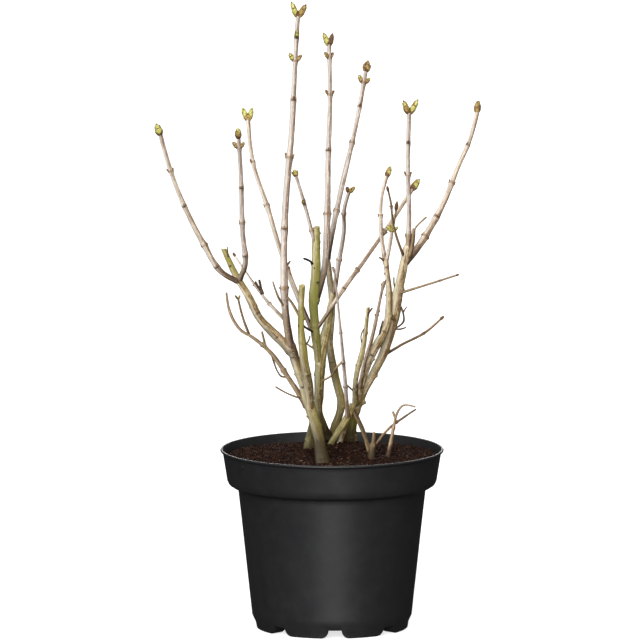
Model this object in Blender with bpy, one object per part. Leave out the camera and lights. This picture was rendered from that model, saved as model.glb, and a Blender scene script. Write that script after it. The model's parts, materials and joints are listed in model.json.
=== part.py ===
"""A lilac shrub, bare and in swelling bud, in a black nursery pot.

The pot stands on the ground with its axis on Z; +X is to the right and +Y to the back.
Places and sizes below are in millimetres and are turned to metres where a mesh is made.
Every limb is a tapered tube along a smooth course through its foot, its bends and its tip.
What grows from something else is cut clear of it by CLEARANCE.
"""
from math import cos, exp, pi, radians, sin

import bpy
import bmesh
from mathutils import Matrix, Vector
from mathutils.geometry import interpolate_bezier

MM = 0.001
CLEARANCE = 0.3          # gap between touching solids

# The pot: a five litre nursery pot, blown thin, with a deep collar and eight feet
POT_HEIGHT = 180.5
POT_RIM_RADIUS = 112.0
POT_WALL = 1.7
COLLAR_TOP_RADIUS = 109.4
COLLAR_FOOT_RADIUS = 105.0
COLLAR_DROP = 37.7       # from the rim down to the step under the collar
WALL_TOP_RADIUS = 94.4
WALL_FOOT_RADIUS = 80.0
WALL_FOOT_HEIGHT = 13.2
FOOT_RADIUS = 76.2
FOOT_INNER_RADIUS = 62.0
UNDERSIDE_HEIGHT = 6.8   # the raised underside between the feet
FLOOR_HEIGHT = 9.5       # the inside floor
PAD_RADIUS = 25.0        # flat pad in the middle of the underside, level with the feet
FOOT_GAPS = 8
GAP_TURN = 2.3           # degrees that the front gap is off the front
GAP_HEIGHT = 8.6
GAP_TOP_WIDTH = 13.0
TURNED_SIDES = 48        # facets round the pot and the soil

# The soil: peat with a low mound at the root crown
SOIL_EDGE_HEIGHT = 172.5
MOUND = {"x": 5.0, "y": 25.0, "rise": 8.0, "spread": 38.0}

LIMB_SIDES = 8
SHOOT_SIDES = 6
TWIG_SIDES = 5
LIMB_STEP = 13.0         # length of a tube's segments
SHOOT_STEP = 17.0
NODE_SWELL = 1.2         # how much thicker a shoot is at its leaf nodes
SIDE_BUD_LEAN = 34       # degrees that side buds lean out
SIDE_BUD_ASPECT = 0.6    # width over length
SIDE_BUD_SECOND = 0.85   # length of the second bud of a pair over the first
SIDE_BUD_LEAST = 2.9     # shorter buds are left to the finished surface
BUD_ROOM = 1.0           # what a bud keeps clear of a limb

# Stems and boughs: what each is cut clear of, and its course as (x, y, z, radius)
LIMBS = {
    "front_stem": (["soil"], [
        (-8, -49, 168, 7.0), (-11, -47, 188, 5.9), (-18, -40, 215, 5.2), (-27, -36, 246, 4.8),
        (-36, -34, 273, 4.6), (-41, -33, 290, 4.6)]),
    "front_foot": (["soil", "front_stem"], [
        (-23, 19, 172, 5.4), (-21, 8, 192, 4.4), (-19, -14, 210, 4.0), (-20, -36, 227, 3.6)]),
    "front_stub": (["front_stem"], [
        (-21, -37, 223, 3.8), (-24, -44, 252, 4.3), (-29, -45, 287, 4.2), (-31, -45, 328, 3.0),
        (-30, -45, 354, 3.1)]),
    "left_bough": (["front_stem"], [
        (-38, -33, 281, 4.2), (-53, -34, 298, 4.8), (-70, -39, 316, 4.0), (-85, -46, 344, 3.7),
        (-94, -46, 359, 3.5), (-109, -42, 390, 2.5)]),
    "back_stem": (["soil"], [
        (-3, 60, 172, 5.2), (4, 55, 196, 4.1), (9, 50, 214, 4.1), (2, 44, 250, 4.1),
        (-2, 41, 281, 3.0), (0, 42, 312, 3.1), (-5, 50, 366, 3.0)]),
    "middle_stem": (["soil", "back_stem"], [
        (-2, 57, 181, 4.2), (-12, 37, 208, 3.8), (-13, 21, 237, 4.9), (-11, 13, 272, 5.4),
        (-4, 13, 307, 3.6), (2, 10, 339, 2.8)]),
    "green_stub": (["middle_stem"], [
        (-13, 14, 264, 3.4), (-16, 3, 292, 4.4), (-18, -2, 326, 4.9), (-16, -4, 370, 4.1),
        (-16, -4, 407, 3.8)]),
    "right_stem": (["soil"], [
        (18, 60, 173, 6.4), (19, 52, 197, 5.4), (28, 45, 224, 4.5), (42, 42, 251, 3.8),
        (56, 38, 283, 4.7), (63, 38, 313, 5.1), (67, 38, 337, 4.6), (76, 37, 378, 4.3)]),
    "crossing_stem": (["soil", "right_stem"], [
        (-5, 18, 174, 3.4), (3, 20, 189, 2.9), (15, 29, 206, 3.4), (21, 38, 219, 3.2)]),
    "inner_right_bough": (["right_stem", "crossing_stem"], [
        (25, 44, 219, 3.8), (31, 31, 247, 3.4), (41, 25, 274, 4.3), (55, 27, 303, 3.9),
        (57, 32, 328, 3.0), (54, 42, 363, 2.7)]),
    "right_stub_tall": (["right_stem", "crossing_stem", "inner_right_bough"], [
        (24, 42, 217, 3.0), (24, 24, 248, 2.7), (31, 15, 279, 2.6), (36, 14, 322, 1.9)]),
    "right_stub_thin": (["inner_right_bough", "right_stub_tall", "right_stem"], [
        (28, 35, 234, 1.9), (32, 20, 261, 1.9), (41, 12, 294, 1.9), (50, 8, 339, 1.4),
        (52, 8, 347, 2.1)]),
    "prop_foot": (["soil", "right_stem", "crossing_stem"], [
        (6, 24, 175, 2.4), (11, 34, 190, 2.0), (16, 47, 201, 2.0)]),
    "dead_stump": (["soil"], [
        (39, -30, 170, 3.4), (40, -29, 186, 3.2), (41, -28, 191, 2.0), (42, -28, 200, 1.7)]),
    "leaning_stem": (["dead_stump", "right_stem", "crossing_stem", "right_stub_tall"], [
        (38, -29, 181, 2.2), (30, 2, 200, 2.1), (22, 36, 212, 1.9)]),
}

# Masses of twigs: what each stem is cut clear of, its end buds as (length, width, lean),
# its course, its leaf nodes as (share of its length, turn of the pair, length of its buds),
# and the side twigs that start inside it, each with its own end buds
SHOOTS = {
    "shoot_tallest": {
        "clear_of": ["front_stem", "left_bough"],
        "ends": [(17.2, 6.9, -24), (15.8, 7.6, 27)],
        "course": [(-41, -33, 286, 4.2), (-46, -33, 320, 3.8), (-48, -33, 366, 3.5),
                   (-46, -31, 437, 3.2), (-40, -28, 507, 3.0), (-37, -26, 567, 2.3),
                   (-34, -25, 621, 2.1)],
        "nodes": [(0.188, 0, 2.4), (0.366, 90, 3.0), (0.578, 0, 5.0), (0.751, 90, 4.5),
                  (0.866, 0, 9.2), (0.936, 90, 9.2)],
        "twigs": [([], [(-47, -33, 328, 1.3), (-53, -42, 339, 1.2), (-59, -52, 357, 0.8)])]},
    "shoot_left_far": {
        "clear_of": ["left_bough"],
        "ends": [(13.2, 9.0, -4)],
        "course": [(-92, -46, 356, 2.8), (-108, -51, 365, 2.8), (-129, -57, 398, 2.7),
                   (-154, -64, 452, 2.3), (-171, -70, 508.5, 2.1)],
        "nodes": [(0.17, 90, 1.6), (0.313, 0, 2.6), (0.568, 90, 2.4), (0.78, 0, 4.0)],
        "twigs": []},
    "shoot_left_high": {
        "clear_of": ["left_bough", "shoot_left_far"],
        "ends": [(11.8, 8.0, 0)],
        "course": [(-93, -46, 357, 2.6), (-87, -54, 373, 2.7), (-89, -66, 407, 2.5),
                   (-91, -87, 476, 2.2), (-93, -97, 509, 2.0)],
        "nodes": [(0.2, 90, 1.6), (0.425, 0, 3.0), (0.665, 90, 2.4), (0.93, 0, 8.5)],
        "twigs": []},
    "shoot_left_inner": {
        "clear_of": ["green_stub"],
        "ends": [(15.4, 7.0, -18), (14.9, 6.7, 18)],
        "course": [(-19, 2, 298, 2.4), (-33, 8, 330, 2.5), (-51, 14, 377, 2.4),
                   (-65, 28, 422, 2.3), (-79, 50, 462, 1.9), (-84, 72, 503, 2.1)],
        "nodes": [(0.3, 0, 2.5), (0.59, 0, 3.0), (0.8, 45, 4.0)],
        "twigs": []},
    "shoot_centre": {
        "clear_of": ["green_stub", "middle_stem"],
        "ends": [(14.8, 7.0, -19), (13.2, 6.6, 16)],
        "course": [(-17, -1, 325, 2.7), (-8, 12, 359, 3.3), (-5, 23, 403, 3.2),
                   (-4, 32, 462, 2.8), (-2, 39, 537, 2.1), (-3, 42, 583, 2.0)],
        "nodes": [(0.36, 0, 2.5), (0.6, 90, 3.0), (0.81, 10, 6.0), (0.95, 35, 7.6)],
        "twigs": []},
    "shoot_back": {
        "clear_of": ["back_stem"],
        "ends": [(12.5, 7.6, 2), (9.0, 5.2, -16), (8.5, 5.2, 22)],
        "course": [(-5, 50, 362, 2.7), (3, 61, 404, 2.6), (12, 75, 444, 2.6),
                   (23, 91, 489, 2.2), (34, 107, 547.5, 2.0)],
        "nodes": [(0.266, 0, 2.5), (0.626, 20, 3.0), (0.816, 90, 3.5), (0.937, 0, 9.0)],
        "twigs": []},
    "shoot_short": {
        "clear_of": ["middle_stem"],
        "ends": [(7.5, 4.8, -26), (10.5, 5.4, 20)],
        "course": [(2, 10, 335, 2.6), (6, 2, 364, 2.3), (12, -22, 407, 2.1),
                   (12, -36, 426, 1.9), (17, -52, 448, 1.7)],
        "nodes": [(0.3, 0, 1.8), (0.76, 10, 2.6)],
        "twigs": []},
    "shoot_small_left": {
        "clear_of": ["green_stub"],
        "ends": [(8.5, 4.8, 0), (7.0, 3.8, -20), (7.0, 3.8, 20)],
        "course": [(-16, -4, 383, 1.9), (-27, -14, 428, 1.7), (-36, -21, 459.4, 1.6)],
        "nodes": [(0.25, 0, 2.2), (0.62, 80, 7.0)],
        "twigs": []},
    "shoot_diagonal": {
        "clear_of": ["green_stub", "middle_stem"],
        "ends": [(15.0, 8.4, 0)],
        "course": [(-15, -1, 302, 1.8), (-7, -4, 314, 2.0), (6, -1, 334, 2.1),
                   (30, 28, 363.3, 2.0), (56, 74, 393.9, 1.9), (81, 100, 428.3, 1.9)],
        "nodes": [(0.25, 90, 1.6), (0.39, 0, 2.6), (0.71, 0, 3.6)],
        "twigs": []},
    "shoot_right_inner": {
        "clear_of": ["inner_right_bough"],
        "ends": [(13.0, 6.9, 4)],
        "course": [(54, 42, 359, 2.2), (49, 60, 397, 1.9), (50, 76, 424, 1.6),
                   (55, 86, 443.5, 1.9)],
        "nodes": [(0.55, 0, 3.0)],
        "twigs": [([(12.0, 5.6, 0), (8.5, 4.2, -38), (8.5, 4.2, 38)],
                   [(54, 45, 361, 2.1), (57, 42, 375, 1.9), (59, 40, 387, 1.7),
                    (60, 38, 395, 1.4)])]},
    "shoot_right_high": {
        "clear_of": ["right_stem"],
        "ends": [(15.7, 7.4, -21), (18.0, 7.2, 27)],
        "course": [(76, 37, 374, 2.8), (77, 35, 406, 2.4), (76, 28, 468, 2.0),
                   (77, 22, 517, 2.2)],
        "nodes": [(0.12, 10, 2.4), (0.551, 0, 4.8), (0.786, 90, 3.8)],
        "twigs": []},
    "shoot_right_far": {
        "clear_of": ["right_stem", "shoot_right_high"],
        "ends": [(13.5, 8.4, -6)],
        "course": [(72, 37, 361, 3.0), (79, 41, 369, 3.6), (88, 47, 380, 3.3),
                   (102, 58, 401, 3.0), (113, 69, 421, 2.9), (126, 83, 452, 2.3),
                   (138, 95, 478, 2.0), (146, 106, 506, 2.3)],
        "nodes": [(0.21, 0, 2.6), (0.34, 90, 1.8), (0.56, 0, 3.2), (0.8, 60, 2.6)],
        "twigs": []},
    "shoot_right_small": {
        "clear_of": ["right_stem"],
        "ends": [(6.5, 3.4, 0)],
        "course": [(72, 36, 369, 1.4), (62, 20, 401, 1.2), (58, 2, 433, 1.0), (56, -3, 442, 1.0)],
        "nodes": [(0.75, 0, 2.4)],
        "twigs": [([(10.6, 4.6, 0)], [(62, 19, 404, 0.9), (64, 14, 420, 1.0)])]},
    "shoot_right_stub": {
        "clear_of": ["right_stem", "shoot_right_high", "shoot_right_far"],
        "ends": [],
        "course": [(77, 36, 368, 1.9), (80.5, 31, 382, 1.9), (82, 24, 399, 1.7)],
        "nodes": [],
        "twigs": [([], [(81.5, 26, 394, 0.9), (84, 23, 401, 0.9), (89, 19.5, 407, 0.8),
                      (94, 16, 412, 1.0)])]},
    "twig_right_upper": {
        "clear_of": ["right_stem"],
        "ends": [(5.5, 2.6, 0)],
        "course": [(67, 37, 332, 1.5), (88, 14, 342, 1.2), (124, -28, 360, 1.0)],
        "nodes": [(0.72, 60, 1.6)],
        "twigs": []},
    "twig_right_lower": {
        "clear_of": ["right_stem"],
        "ends": [(6.8, 3.6, 0)],
        "course": [(50, 41, 267, 1.6), (70, 56, 277, 1.4), (94, 74, 287, 1.3),
                   (109, 86, 298, 1.0)],
        "nodes": [(0.7, 60, 1.6)],
        "twigs": []},
    "twig_left_upper": {
        "clear_of": ["shoot_tallest", "front_stem", "left_bough"],
        "ends": [(6.5, 3.4, 0)],
        "course": [(-46, -32, 315, 1.8), (-62, -4, 327, 1.6), (-84, 38, 350, 1.1),
                   (-97, 61, 366, 0.8)],
        "nodes": [(0.3, 0, 2.5), (0.6, 0, 2.4)],
        "twigs": []},
    "twig_left_lower": {
        "clear_of": ["front_stem", "front_foot"],
        "ends": [],
        "course": [(-25, -36, 227, 2.6), (-33, -20, 239, 2.7), (-41, -6, 249, 2.5),
                   (-64, 34, 275, 2.0), (-85, 63, 287, 1.6)],
        "nodes": [(0.45, 0, 2.2), (0.8, 0, 2.0)],
        "twigs": [([], [(-83, 60, 286, 1.5), (-92, 70, 290, 1.5), (-101, 76, 303, 1.6),
                      (-106, 84, 325, 1.1)]),
                  ([(6.0, 2.6, -24), (5.0, 2.4, 26)], [(-83, 61, 286, 1.4), (-91, 56, 310, 1.2),
                      (-94, 54, 324, 1.1)]),
                  ([], [(-30, -26, 235, 1.0), (-44, -38, 242, 0.9), (-56, -46, 250, 0.8)])]},
    "twig_centre": {
        "clear_of": ["crossing_stem", "right_stem"],
        "ends": [],
        "course": [(16, 28, 207, 2.2), (12, -8, 263, 1.8), (8, -32, 310, 1.3),
                   (2, -60, 372, 0.8)],
        "nodes": [(0.23, 0, 1.2), (0.395, 60, 1.8), (0.59, 0, 1.6)],
        "twigs": []},
    "twig_low_right": {
        "clear_of": ["dead_stump"],
        "ends": [],
        "course": [(41, -29, 185, 1.3), (58, -8, 203, 1.2), (72, 7, 211, 1.1),
                   (84, 20, 217, 0.8)],
        "nodes": [(0.6, 0, 1.4)],
        "twigs": []},
    "twig_low_forked": {
        "clear_of": ["soil"],
        "ends": [],
        "course": [(55, -15, 170, 2.7), (59, -14, 190, 2.0), (62, -12, 206, 1.4),
                   (64, -12, 215, 1.3), (71, -19, 227, 0.9), (83, -28, 227, 0.8)],
        "nodes": [(0.45, 0, 1.4)],
        "twigs": [([], [(64, -12, 211, 1.1), (61, -11, 219, 1.2)])]},
}

COLOURS = {              # base colour and roughness
    "black_polypropylene": ((0.020, 0.020, 0.021), 0.42),
    "peat": ((0.050, 0.022, 0.012), 0.95),
    "old_bark": ((0.22, 0.17, 0.075), 0.85),
    "green_bark": ((0.20, 0.19, 0.045), 0.8),
    "dead_bark": ((0.11, 0.08, 0.05), 0.9),
    "young_bark": ((0.40, 0.29, 0.20), 0.75),
}


def clear_scene():
    for thing in list(bpy.data.objects):
        bpy.data.objects.remove(thing, do_unlink=True)


def material(name):
    found = bpy.data.materials.get(name)
    if found:
        return found
    colour, roughness = COLOURS[name]
    made = bpy.data.materials.new(name)
    made.use_nodes = True
    shader = made.node_tree.nodes["Principled BSDF"]
    shader.inputs["Base Color"].default_value = (*colour, 1.0)
    shader.inputs["Roughness"].default_value = roughness
    return made


def add_object(name, bm, finish=None, collection=None):
    """Turn a mesh that is in millimetres into an object in metres."""
    bmesh.ops.scale(bm, vec=(MM, MM, MM), verts=bm.verts)
    bmesh.ops.recalc_face_normals(bm, faces=bm.faces)
    mesh = bpy.data.meshes.new(name)
    bm.to_mesh(mesh)
    bm.free()
    thing = bpy.data.objects.new(name, mesh)
    (collection or bpy.context.scene.collection).objects.link(thing)
    if finish:
        mesh.materials.append(material(finish))
    return thing


def apply_modifiers(thing):
    graph = bpy.context.evaluated_depsgraph_get()
    mesh = bpy.data.meshes.new_from_object(thing.evaluated_get(graph))
    old = thing.data
    thing.modifiers.clear()
    thing.data = mesh
    bpy.data.meshes.remove(old)


def keep_largest(thing):
    """Drop the loose scraps that a cut or a union leaves."""
    bm = bmesh.new()
    bm.from_mesh(thing.data)
    bmesh.ops.remove_doubles(bm, verts=bm.verts, dist=0.01 * MM)
    bmesh.ops.dissolve_degenerate(bm, edges=bm.edges, dist=0.01 * MM)
    unseen = set(bm.faces)
    islands = []
    while unseen:
        island = set()
        front = [unseen.pop()]
        while front:
            face = front.pop()
            island.add(face)
            for edge in face.edges:
                for other in edge.link_faces:
                    if other in unseen:
                        unseen.remove(other)
                        front.append(other)
        islands.append(island)
    islands.sort(key=len)
    scraps = [face for island in islands[:-1] for face in island]
    bmesh.ops.delete(bm, geom=scraps, context="FACES")
    loose = [vert for vert in bm.verts if not vert.link_faces]
    bmesh.ops.delete(bm, geom=loose, context="VERTS")
    bm.to_mesh(thing.data)
    bm.free()


def boolean(thing, operation, others):
    """One Boolean with a collection of other solids, which are then removed."""
    tools = bpy.data.collections.new("tools")
    bpy.context.scene.collection.children.link(tools)
    for other in others:
        for home in list(other.users_collection):
            home.objects.unlink(other)
        tools.objects.link(other)
    modifier = thing.modifiers.new(operation.lower(), "BOOLEAN")
    modifier.operation = operation
    modifier.solver = "EXACT"
    modifier.operand_type = "COLLECTION"
    modifier.collection = tools
    apply_modifiers(thing)
    for other in others:
        bpy.data.objects.remove(other, do_unlink=True)
    bpy.data.collections.remove(tools)
    keep_largest(thing)


def smooth_course(points, step):
    """Places and radii about a step apart on a smooth curve through the named points."""
    places = [Vector(point[:3]) for point in points]
    radii = [point[3] for point in points]
    spans = [(after - before).length for before, after in zip(places, places[1:])]
    headings = []
    for i in range(len(places)):
        if i == 0 or i == len(places) - 1:
            headings.append(None)
            continue
        before = (places[i] - places[i - 1]) / spans[i - 1]
        after = (places[i + 1] - places[i]) / spans[i]
        headings.append((before * spans[i] + after * spans[i - 1]) / (spans[i - 1] + spans[i]))
    headings[0] = 1.5 * (places[1] - places[0]) / spans[0] - 0.5 * (headings[1] or Vector())
    headings[-1] = 1.5 * (places[-1] - places[-2]) / spans[-1] - 0.5 * (headings[-2] or Vector())
    course = []
    for i, span in enumerate(spans):
        count = max(2, round(span / step) + 1)
        handle = span / 3
        curve = interpolate_bezier(places[i], places[i] + headings[i] * handle,
                                   places[i + 1] - headings[i + 1] * handle,
                                   places[i + 1], count)
        for k, place in enumerate(curve[:-1]):
            share = k / (count - 1)
            course.append((Vector(place), radii[i] + (radii[i + 1] - radii[i]) * share))
    course.append((places[-1], radii[-1]))
    return course


def add_nodes(course, nodes):
    """Swell a course at its leaf nodes, and list the nodes."""
    lengths = [0.0]
    for (before, _), (after, _) in zip(course, course[1:]):
        lengths.append(lengths[-1] + (after - before).length)
    found = []
    stations = list(zip(lengths, course))
    for share, turn, bud_length in nodes:
        at = share * lengths[-1]
        i = max(k for k, length in enumerate(lengths[:-1]) if length <= at)
        part = (at - lengths[i]) / (lengths[i + 1] - lengths[i])
        place = course[i][0].lerp(course[i + 1][0], part)
        radius = course[i][1] + (course[i + 1][1] - course[i][1]) * part
        heading = (course[i + 1][0] - course[i][0]).normalized()
        found.append((place, heading, radius, turn, bud_length))
        swell = 2.2 * radius
        stations = [kept for kept in stations if abs(kept[0] - at) > 1.5 * swell]
        for offset, factor in ((-swell, 1.0), (0.0, NODE_SWELL), (swell, 1.0)):
            stations.append((at + offset, (place + heading * offset, radius * factor)))
    stations.sort(key=lambda station: station[0])
    return [station[1] for station in stations], found


def tube(course, sides, extra=0.0):
    """A closed tapered tube along a course; extra makes it that much larger all over."""
    bm = bmesh.new()
    turn = (course[1][0] - course[0][0]).to_track_quat("Z", "X")
    heading = turn @ Vector((0, 0, 1))
    rings = []
    for i, (place, radius) in enumerate(course):
        before = course[max(i - 1, 0)][0]
        after = course[min(i + 1, len(course) - 1)][0]
        new_heading = (after - before).normalized()
        turn = heading.rotation_difference(new_heading) @ turn
        heading = new_heading
        if extra and i == 0:
            place = place - heading * extra
        if extra and i == len(course) - 1:
            place = place + heading * extra
        matrix = Matrix.Translation(place) @ turn.to_matrix().to_4x4()
        ring = bmesh.ops.create_circle(bm, segments=sides, radius=radius + extra, matrix=matrix)
        rings.append(ring["verts"])
    for lower, upper in zip(rings, rings[1:]):
        for k in range(sides):
            after = (k + 1) % sides
            bm.faces.new((lower[k], lower[after], upper[after], upper[k]))
    bm.faces.new(rings[0])
    bm.faces.new(rings[-1])
    bmesh.ops.triangulate(bm, faces=[face for face in bm.faces if len(face.verts) > 4])
    return bm


def bud(foot, heading, length, width, sides=6):
    """A pointed egg that stands on its foot along a heading."""
    bm = bmesh.new()
    bmesh.ops.create_uvsphere(bm, u_segments=sides, v_segments=5, radius=0.5)
    for vert in bm.verts:
        pinch = 1.0 - 0.45 * max(vert.co.z, 0.0) / 0.5
        vert.co.x *= width * pinch
        vert.co.y *= width * pinch
        vert.co.z *= length
    matrix = Matrix.Translation(foot + heading * length * 0.48)
    matrix = matrix @ heading.to_track_quat("Z", "X").to_matrix().to_4x4()
    bmesh.ops.transform(bm, matrix=matrix, verts=bm.verts)
    return bm


def spike(foot, heading, length, width):
    """A small side bud: a cone with five sides."""
    bm = bmesh.new()
    bmesh.ops.create_cone(bm, cap_ends=True, cap_tris=True, segments=5,
                          radius1=width / 2, radius2=width / 10, depth=length)
    matrix = Matrix.Translation(foot + heading * length / 2)
    matrix = matrix @ heading.to_track_quat("Z", "X").to_matrix().to_4x4()
    bmesh.ops.transform(bm, matrix=matrix, verts=bm.verts)
    return bm


def across(heading):
    return heading.cross(Vector((0, 1, 0))).normalized()


def is_free(place, room, courses):
    """True where a bud's tip keeps its room from every limb."""
    for course in courses:
        for near, radius in course:
            if (near - place).length < radius + room:
                return False
    return True


def side_buds(nodes, limb_courses):
    """Opposite buds at each leaf node."""
    buds = []
    lean = radians(SIDE_BUD_LEAN)
    for place, heading, radius, turn, bud_length in nodes:
        for side, length in ((0, bud_length), (180, bud_length * SIDE_BUD_SECOND)):
            out = Matrix.Rotation(radians(turn + side), 3, heading) @ across(heading)
            aim = heading * cos(lean) + out * sin(lean)
            foot = place + out * radius * 0.75
            free = is_free(foot + aim * length, BUD_ROOM, limb_courses)
            if free and bud_length >= SIDE_BUD_LEAST:
                buds.append(spike(foot, aim, length, length * SIDE_BUD_ASPECT))
    return buds


def end_buds(course, ends):
    """A bud in the shoot's line, or two or three that lean apart."""
    buds = []
    tip, radius = course[-1]
    heading = (course[-1][0] - course[-2][0]).normalized()
    for length, width, lean in ends:
        lean = radians(-lean)
        foot = tip - heading * radius * 0.5 + across(heading) * radius * sin(lean)
        buds.append(bud(foot, heading * cos(lean) + across(heading) * sin(lean), length, width))
    return buds


def soil_height(x, y):
    off = (x - MOUND["x"]) ** 2 + (y - MOUND["y"]) ** 2
    return SOIL_EDGE_HEIGHT + MOUND["rise"] * exp(-off / (2 * MOUND["spread"] ** 2))


def turned(profile):
    """Spin a closed profile of (radius, height) once round Z."""
    bm = bmesh.new()
    verts = [bm.verts.new((radius, 0, height)) for radius, height in profile]
    edges = [bm.edges.new(pair) for pair in zip(verts, verts[1:])]
    bmesh.ops.spin(bm, geom=verts + edges, axis=(0, 0, 1), cent=(0, 0, 0), dvec=(0, 0, 0),
                   angle=2 * pi, steps=TURNED_SIDES, use_merge=True)
    bmesh.ops.remove_doubles(bm, verts=bm.verts, dist=0.01)
    return bm


def wall_inside(height):
    """Inner radius of the pot's lower wall at a height."""
    share = (height - WALL_FOOT_HEIGHT) / (POT_HEIGHT - COLLAR_DROP - WALL_FOOT_HEIGHT)
    return WALL_FOOT_RADIUS + (WALL_TOP_RADIUS - WALL_FOOT_RADIUS) * share - POT_WALL


def collar_inside(height):
    """Inner radius of the collar at a height."""
    top = POT_HEIGHT - 5.0
    foot = POT_HEIGHT - COLLAR_DROP + 6.6
    share = (height - foot) / (top - foot)
    return COLLAR_FOOT_RADIUS + (COLLAR_TOP_RADIUS - COLLAR_FOOT_RADIUS) * share - POT_WALL


def gap_cutter(turn):
    """The gap between two feet: upright above, and flared where the feet's corners round."""
    flare = GAP_HEIGHT
    half = []
    for step in range(6):
        angle = radians(18 * step)
        half.append((GAP_TOP_WIDTH / 2 + flare * (1 - cos(angle)), GAP_HEIGHT * (1 - sin(angle))))
    half.append((half[-1][0], -2.0))
    outline = [(-width, height) for width, height in reversed(half)] + half
    bm = bmesh.new()
    near = [bm.verts.new((width, FOOT_INNER_RADIUS - 8.0, height)) for width, height in outline]
    face = bm.faces.new(near)
    grown = bmesh.ops.extrude_face_region(bm, geom=[face])["geom"]
    moved = [part for part in grown if isinstance(part, bmesh.types.BMVert)]
    bmesh.ops.translate(bm, verts=moved, vec=(0, 30.0, 0))
    bmesh.ops.rotate(bm, verts=bm.verts, cent=(0, 0, 0), matrix=Matrix.Rotation(turn, 3, "Z"))
    return bm


def build_pot():
    collar_foot = POT_HEIGHT - COLLAR_DROP
    profile = [
        (0, 0), (PAD_RADIUS, 0), (PAD_RADIUS + 3, UNDERSIDE_HEIGHT),
        (FOOT_INNER_RADIUS - 2, UNDERSIDE_HEIGHT), (FOOT_INNER_RADIUS, 0),
        (FOOT_RADIUS - 1, 0), (FOOT_RADIUS, 1), (FOOT_RADIUS + 0.7, 6.5),
        (WALL_FOOT_RADIUS, WALL_FOOT_HEIGHT), (WALL_TOP_RADIUS, collar_foot),
        (WALL_TOP_RADIUS + 5.5, collar_foot + 0.6), (COLLAR_FOOT_RADIUS - 1.6, collar_foot + 2.8),
        (COLLAR_FOOT_RADIUS, collar_foot + 6.0), (COLLAR_TOP_RADIUS, POT_HEIGHT - 3.6),
        (POT_RIM_RADIUS - 0.4, POT_HEIGHT - 3.0), (POT_RIM_RADIUS, POT_HEIGHT - 1.6),
        (POT_RIM_RADIUS - 0.8, POT_HEIGHT - 0.3), (POT_RIM_RADIUS - 1.6, POT_HEIGHT),
        (POT_RIM_RADIUS - 2.7, POT_HEIGHT - 0.5), (collar_inside(POT_HEIGHT - 5), POT_HEIGHT - 5),
        (collar_inside(collar_foot + 7.6), collar_foot + 7.6),
        (COLLAR_FOOT_RADIUS - 4, collar_foot + 3.4), (wall_inside(collar_foot), collar_foot + 1.8),
        (wall_inside(WALL_FOOT_HEIGHT), WALL_FOOT_HEIGHT), (FOOT_RADIUS, FLOOR_HEIGHT),
        (0, FLOOR_HEIGHT)]
    pot = add_object("pot", turned(profile), "black_polypropylene")
    cutters = []
    for k in range(FOOT_GAPS):
        turn = pi + radians(GAP_TURN) + k * 2 * pi / FOOT_GAPS
        cutters.append(add_object("gap", gap_cutter(turn)))
    boolean(pot, "DIFFERENCE", cutters)
    return pot


def soil_mesh(lift=0.0):
    """The soil fills the pot; lift raises its top to make a cutter for what stands in it."""
    collar_foot = POT_HEIGHT - COLLAR_DROP
    gap = CLEARANCE
    profile = [(0, FLOOR_HEIGHT + gap), (FOOT_RADIUS - gap - 0.3, FLOOR_HEIGHT + gap),
               (wall_inside(WALL_FOOT_HEIGHT) - gap, WALL_FOOT_HEIGHT + gap),
               (wall_inside(collar_foot) - gap, collar_foot + 1.8 + gap),
               (COLLAR_FOOT_RADIUS - 4 - gap, collar_foot + 3.4 + gap),
               (collar_inside(collar_foot + 7.6) - gap, collar_foot + 7.6 + gap)]
    top = [collar_inside(SOIL_EDGE_HEIGHT) - gap, 88, 70, 54, 40, 26, 13, 0]
    bm = turned(profile + [(radius, SOIL_EDGE_HEIGHT) for radius in top])
    for vert in bm.verts:
        if vert.co.z > SOIL_EDGE_HEIGHT - 0.01:
            edge = max(0.0, 1 - vert.co.xy.length / top[0])
            rise = soil_height(vert.co.x, vert.co.y) - SOIL_EDGE_HEIGHT
            vert.co.z += rise * min(1.0, 4 * edge) + lift
    return bm


def build_solids():
    build_pot()
    add_object("soil", soil_mesh(), "peat")
    swollen = {"soil": lambda: soil_mesh(CLEARANCE)}

    def cut_clear(thing, clear_of):
        boolean(thing, "DIFFERENCE", [add_object("cutter", swollen[name]()) for name in clear_of])

    finishes = {"green_stub": "green_bark", "dead_stump": "dead_bark"}
    limb_courses = []
    for name, (clear_of, points) in LIMBS.items():
        course = smooth_course(points, LIMB_STEP)
        limb_courses.append(course)
        swollen[name] = lambda course=course: tube(course, LIMB_SIDES, CLEARANCE)
        limb = add_object(name, tube(course, LIMB_SIDES), finishes.get(name, "old_bark"))
        cut_clear(limb, clear_of)
        limb.data.shade_smooth()

    for name, plan in SHOOTS.items():
        sides = TWIG_SIDES if plan["course"][0][3] < 2.0 else SHOOT_SIDES
        course, nodes = add_nodes(smooth_course(plan["course"], SHOOT_STEP), plan["nodes"])
        swollen[name] = lambda course=course, sides=sides: tube(course, sides, CLEARANCE)
        shoot = add_object(name, tube(course, sides), "young_bark")
        parts = side_buds(nodes, limb_courses) + end_buds(course, plan["ends"])
        for ends, points in plan["twigs"]:
            twig = smooth_course(points, SHOOT_STEP)
            parts += [tube(twig, TWIG_SIDES)] + end_buds(twig, ends)
        if parts:
            boolean(shoot, "UNION", [add_object("part", part) for part in parts])
        cut_clear(shoot, plan["clear_of"])
        shoot.data.shade_smooth()


clear_scene()
build_solids()
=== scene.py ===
# A lilac shrub, bare and in swelling bud, in a black nursery pot.
# Places and sizes are in millimetres; finishPiece turns a mesh to metres.
import json
from math import cos, exp, pi, radians, sin
from random import Random

import bmesh
import bpy
import numpy as np
from mathutils import Matrix, Vector, noise
from mathutils.geometry import interpolate_bezier

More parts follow.
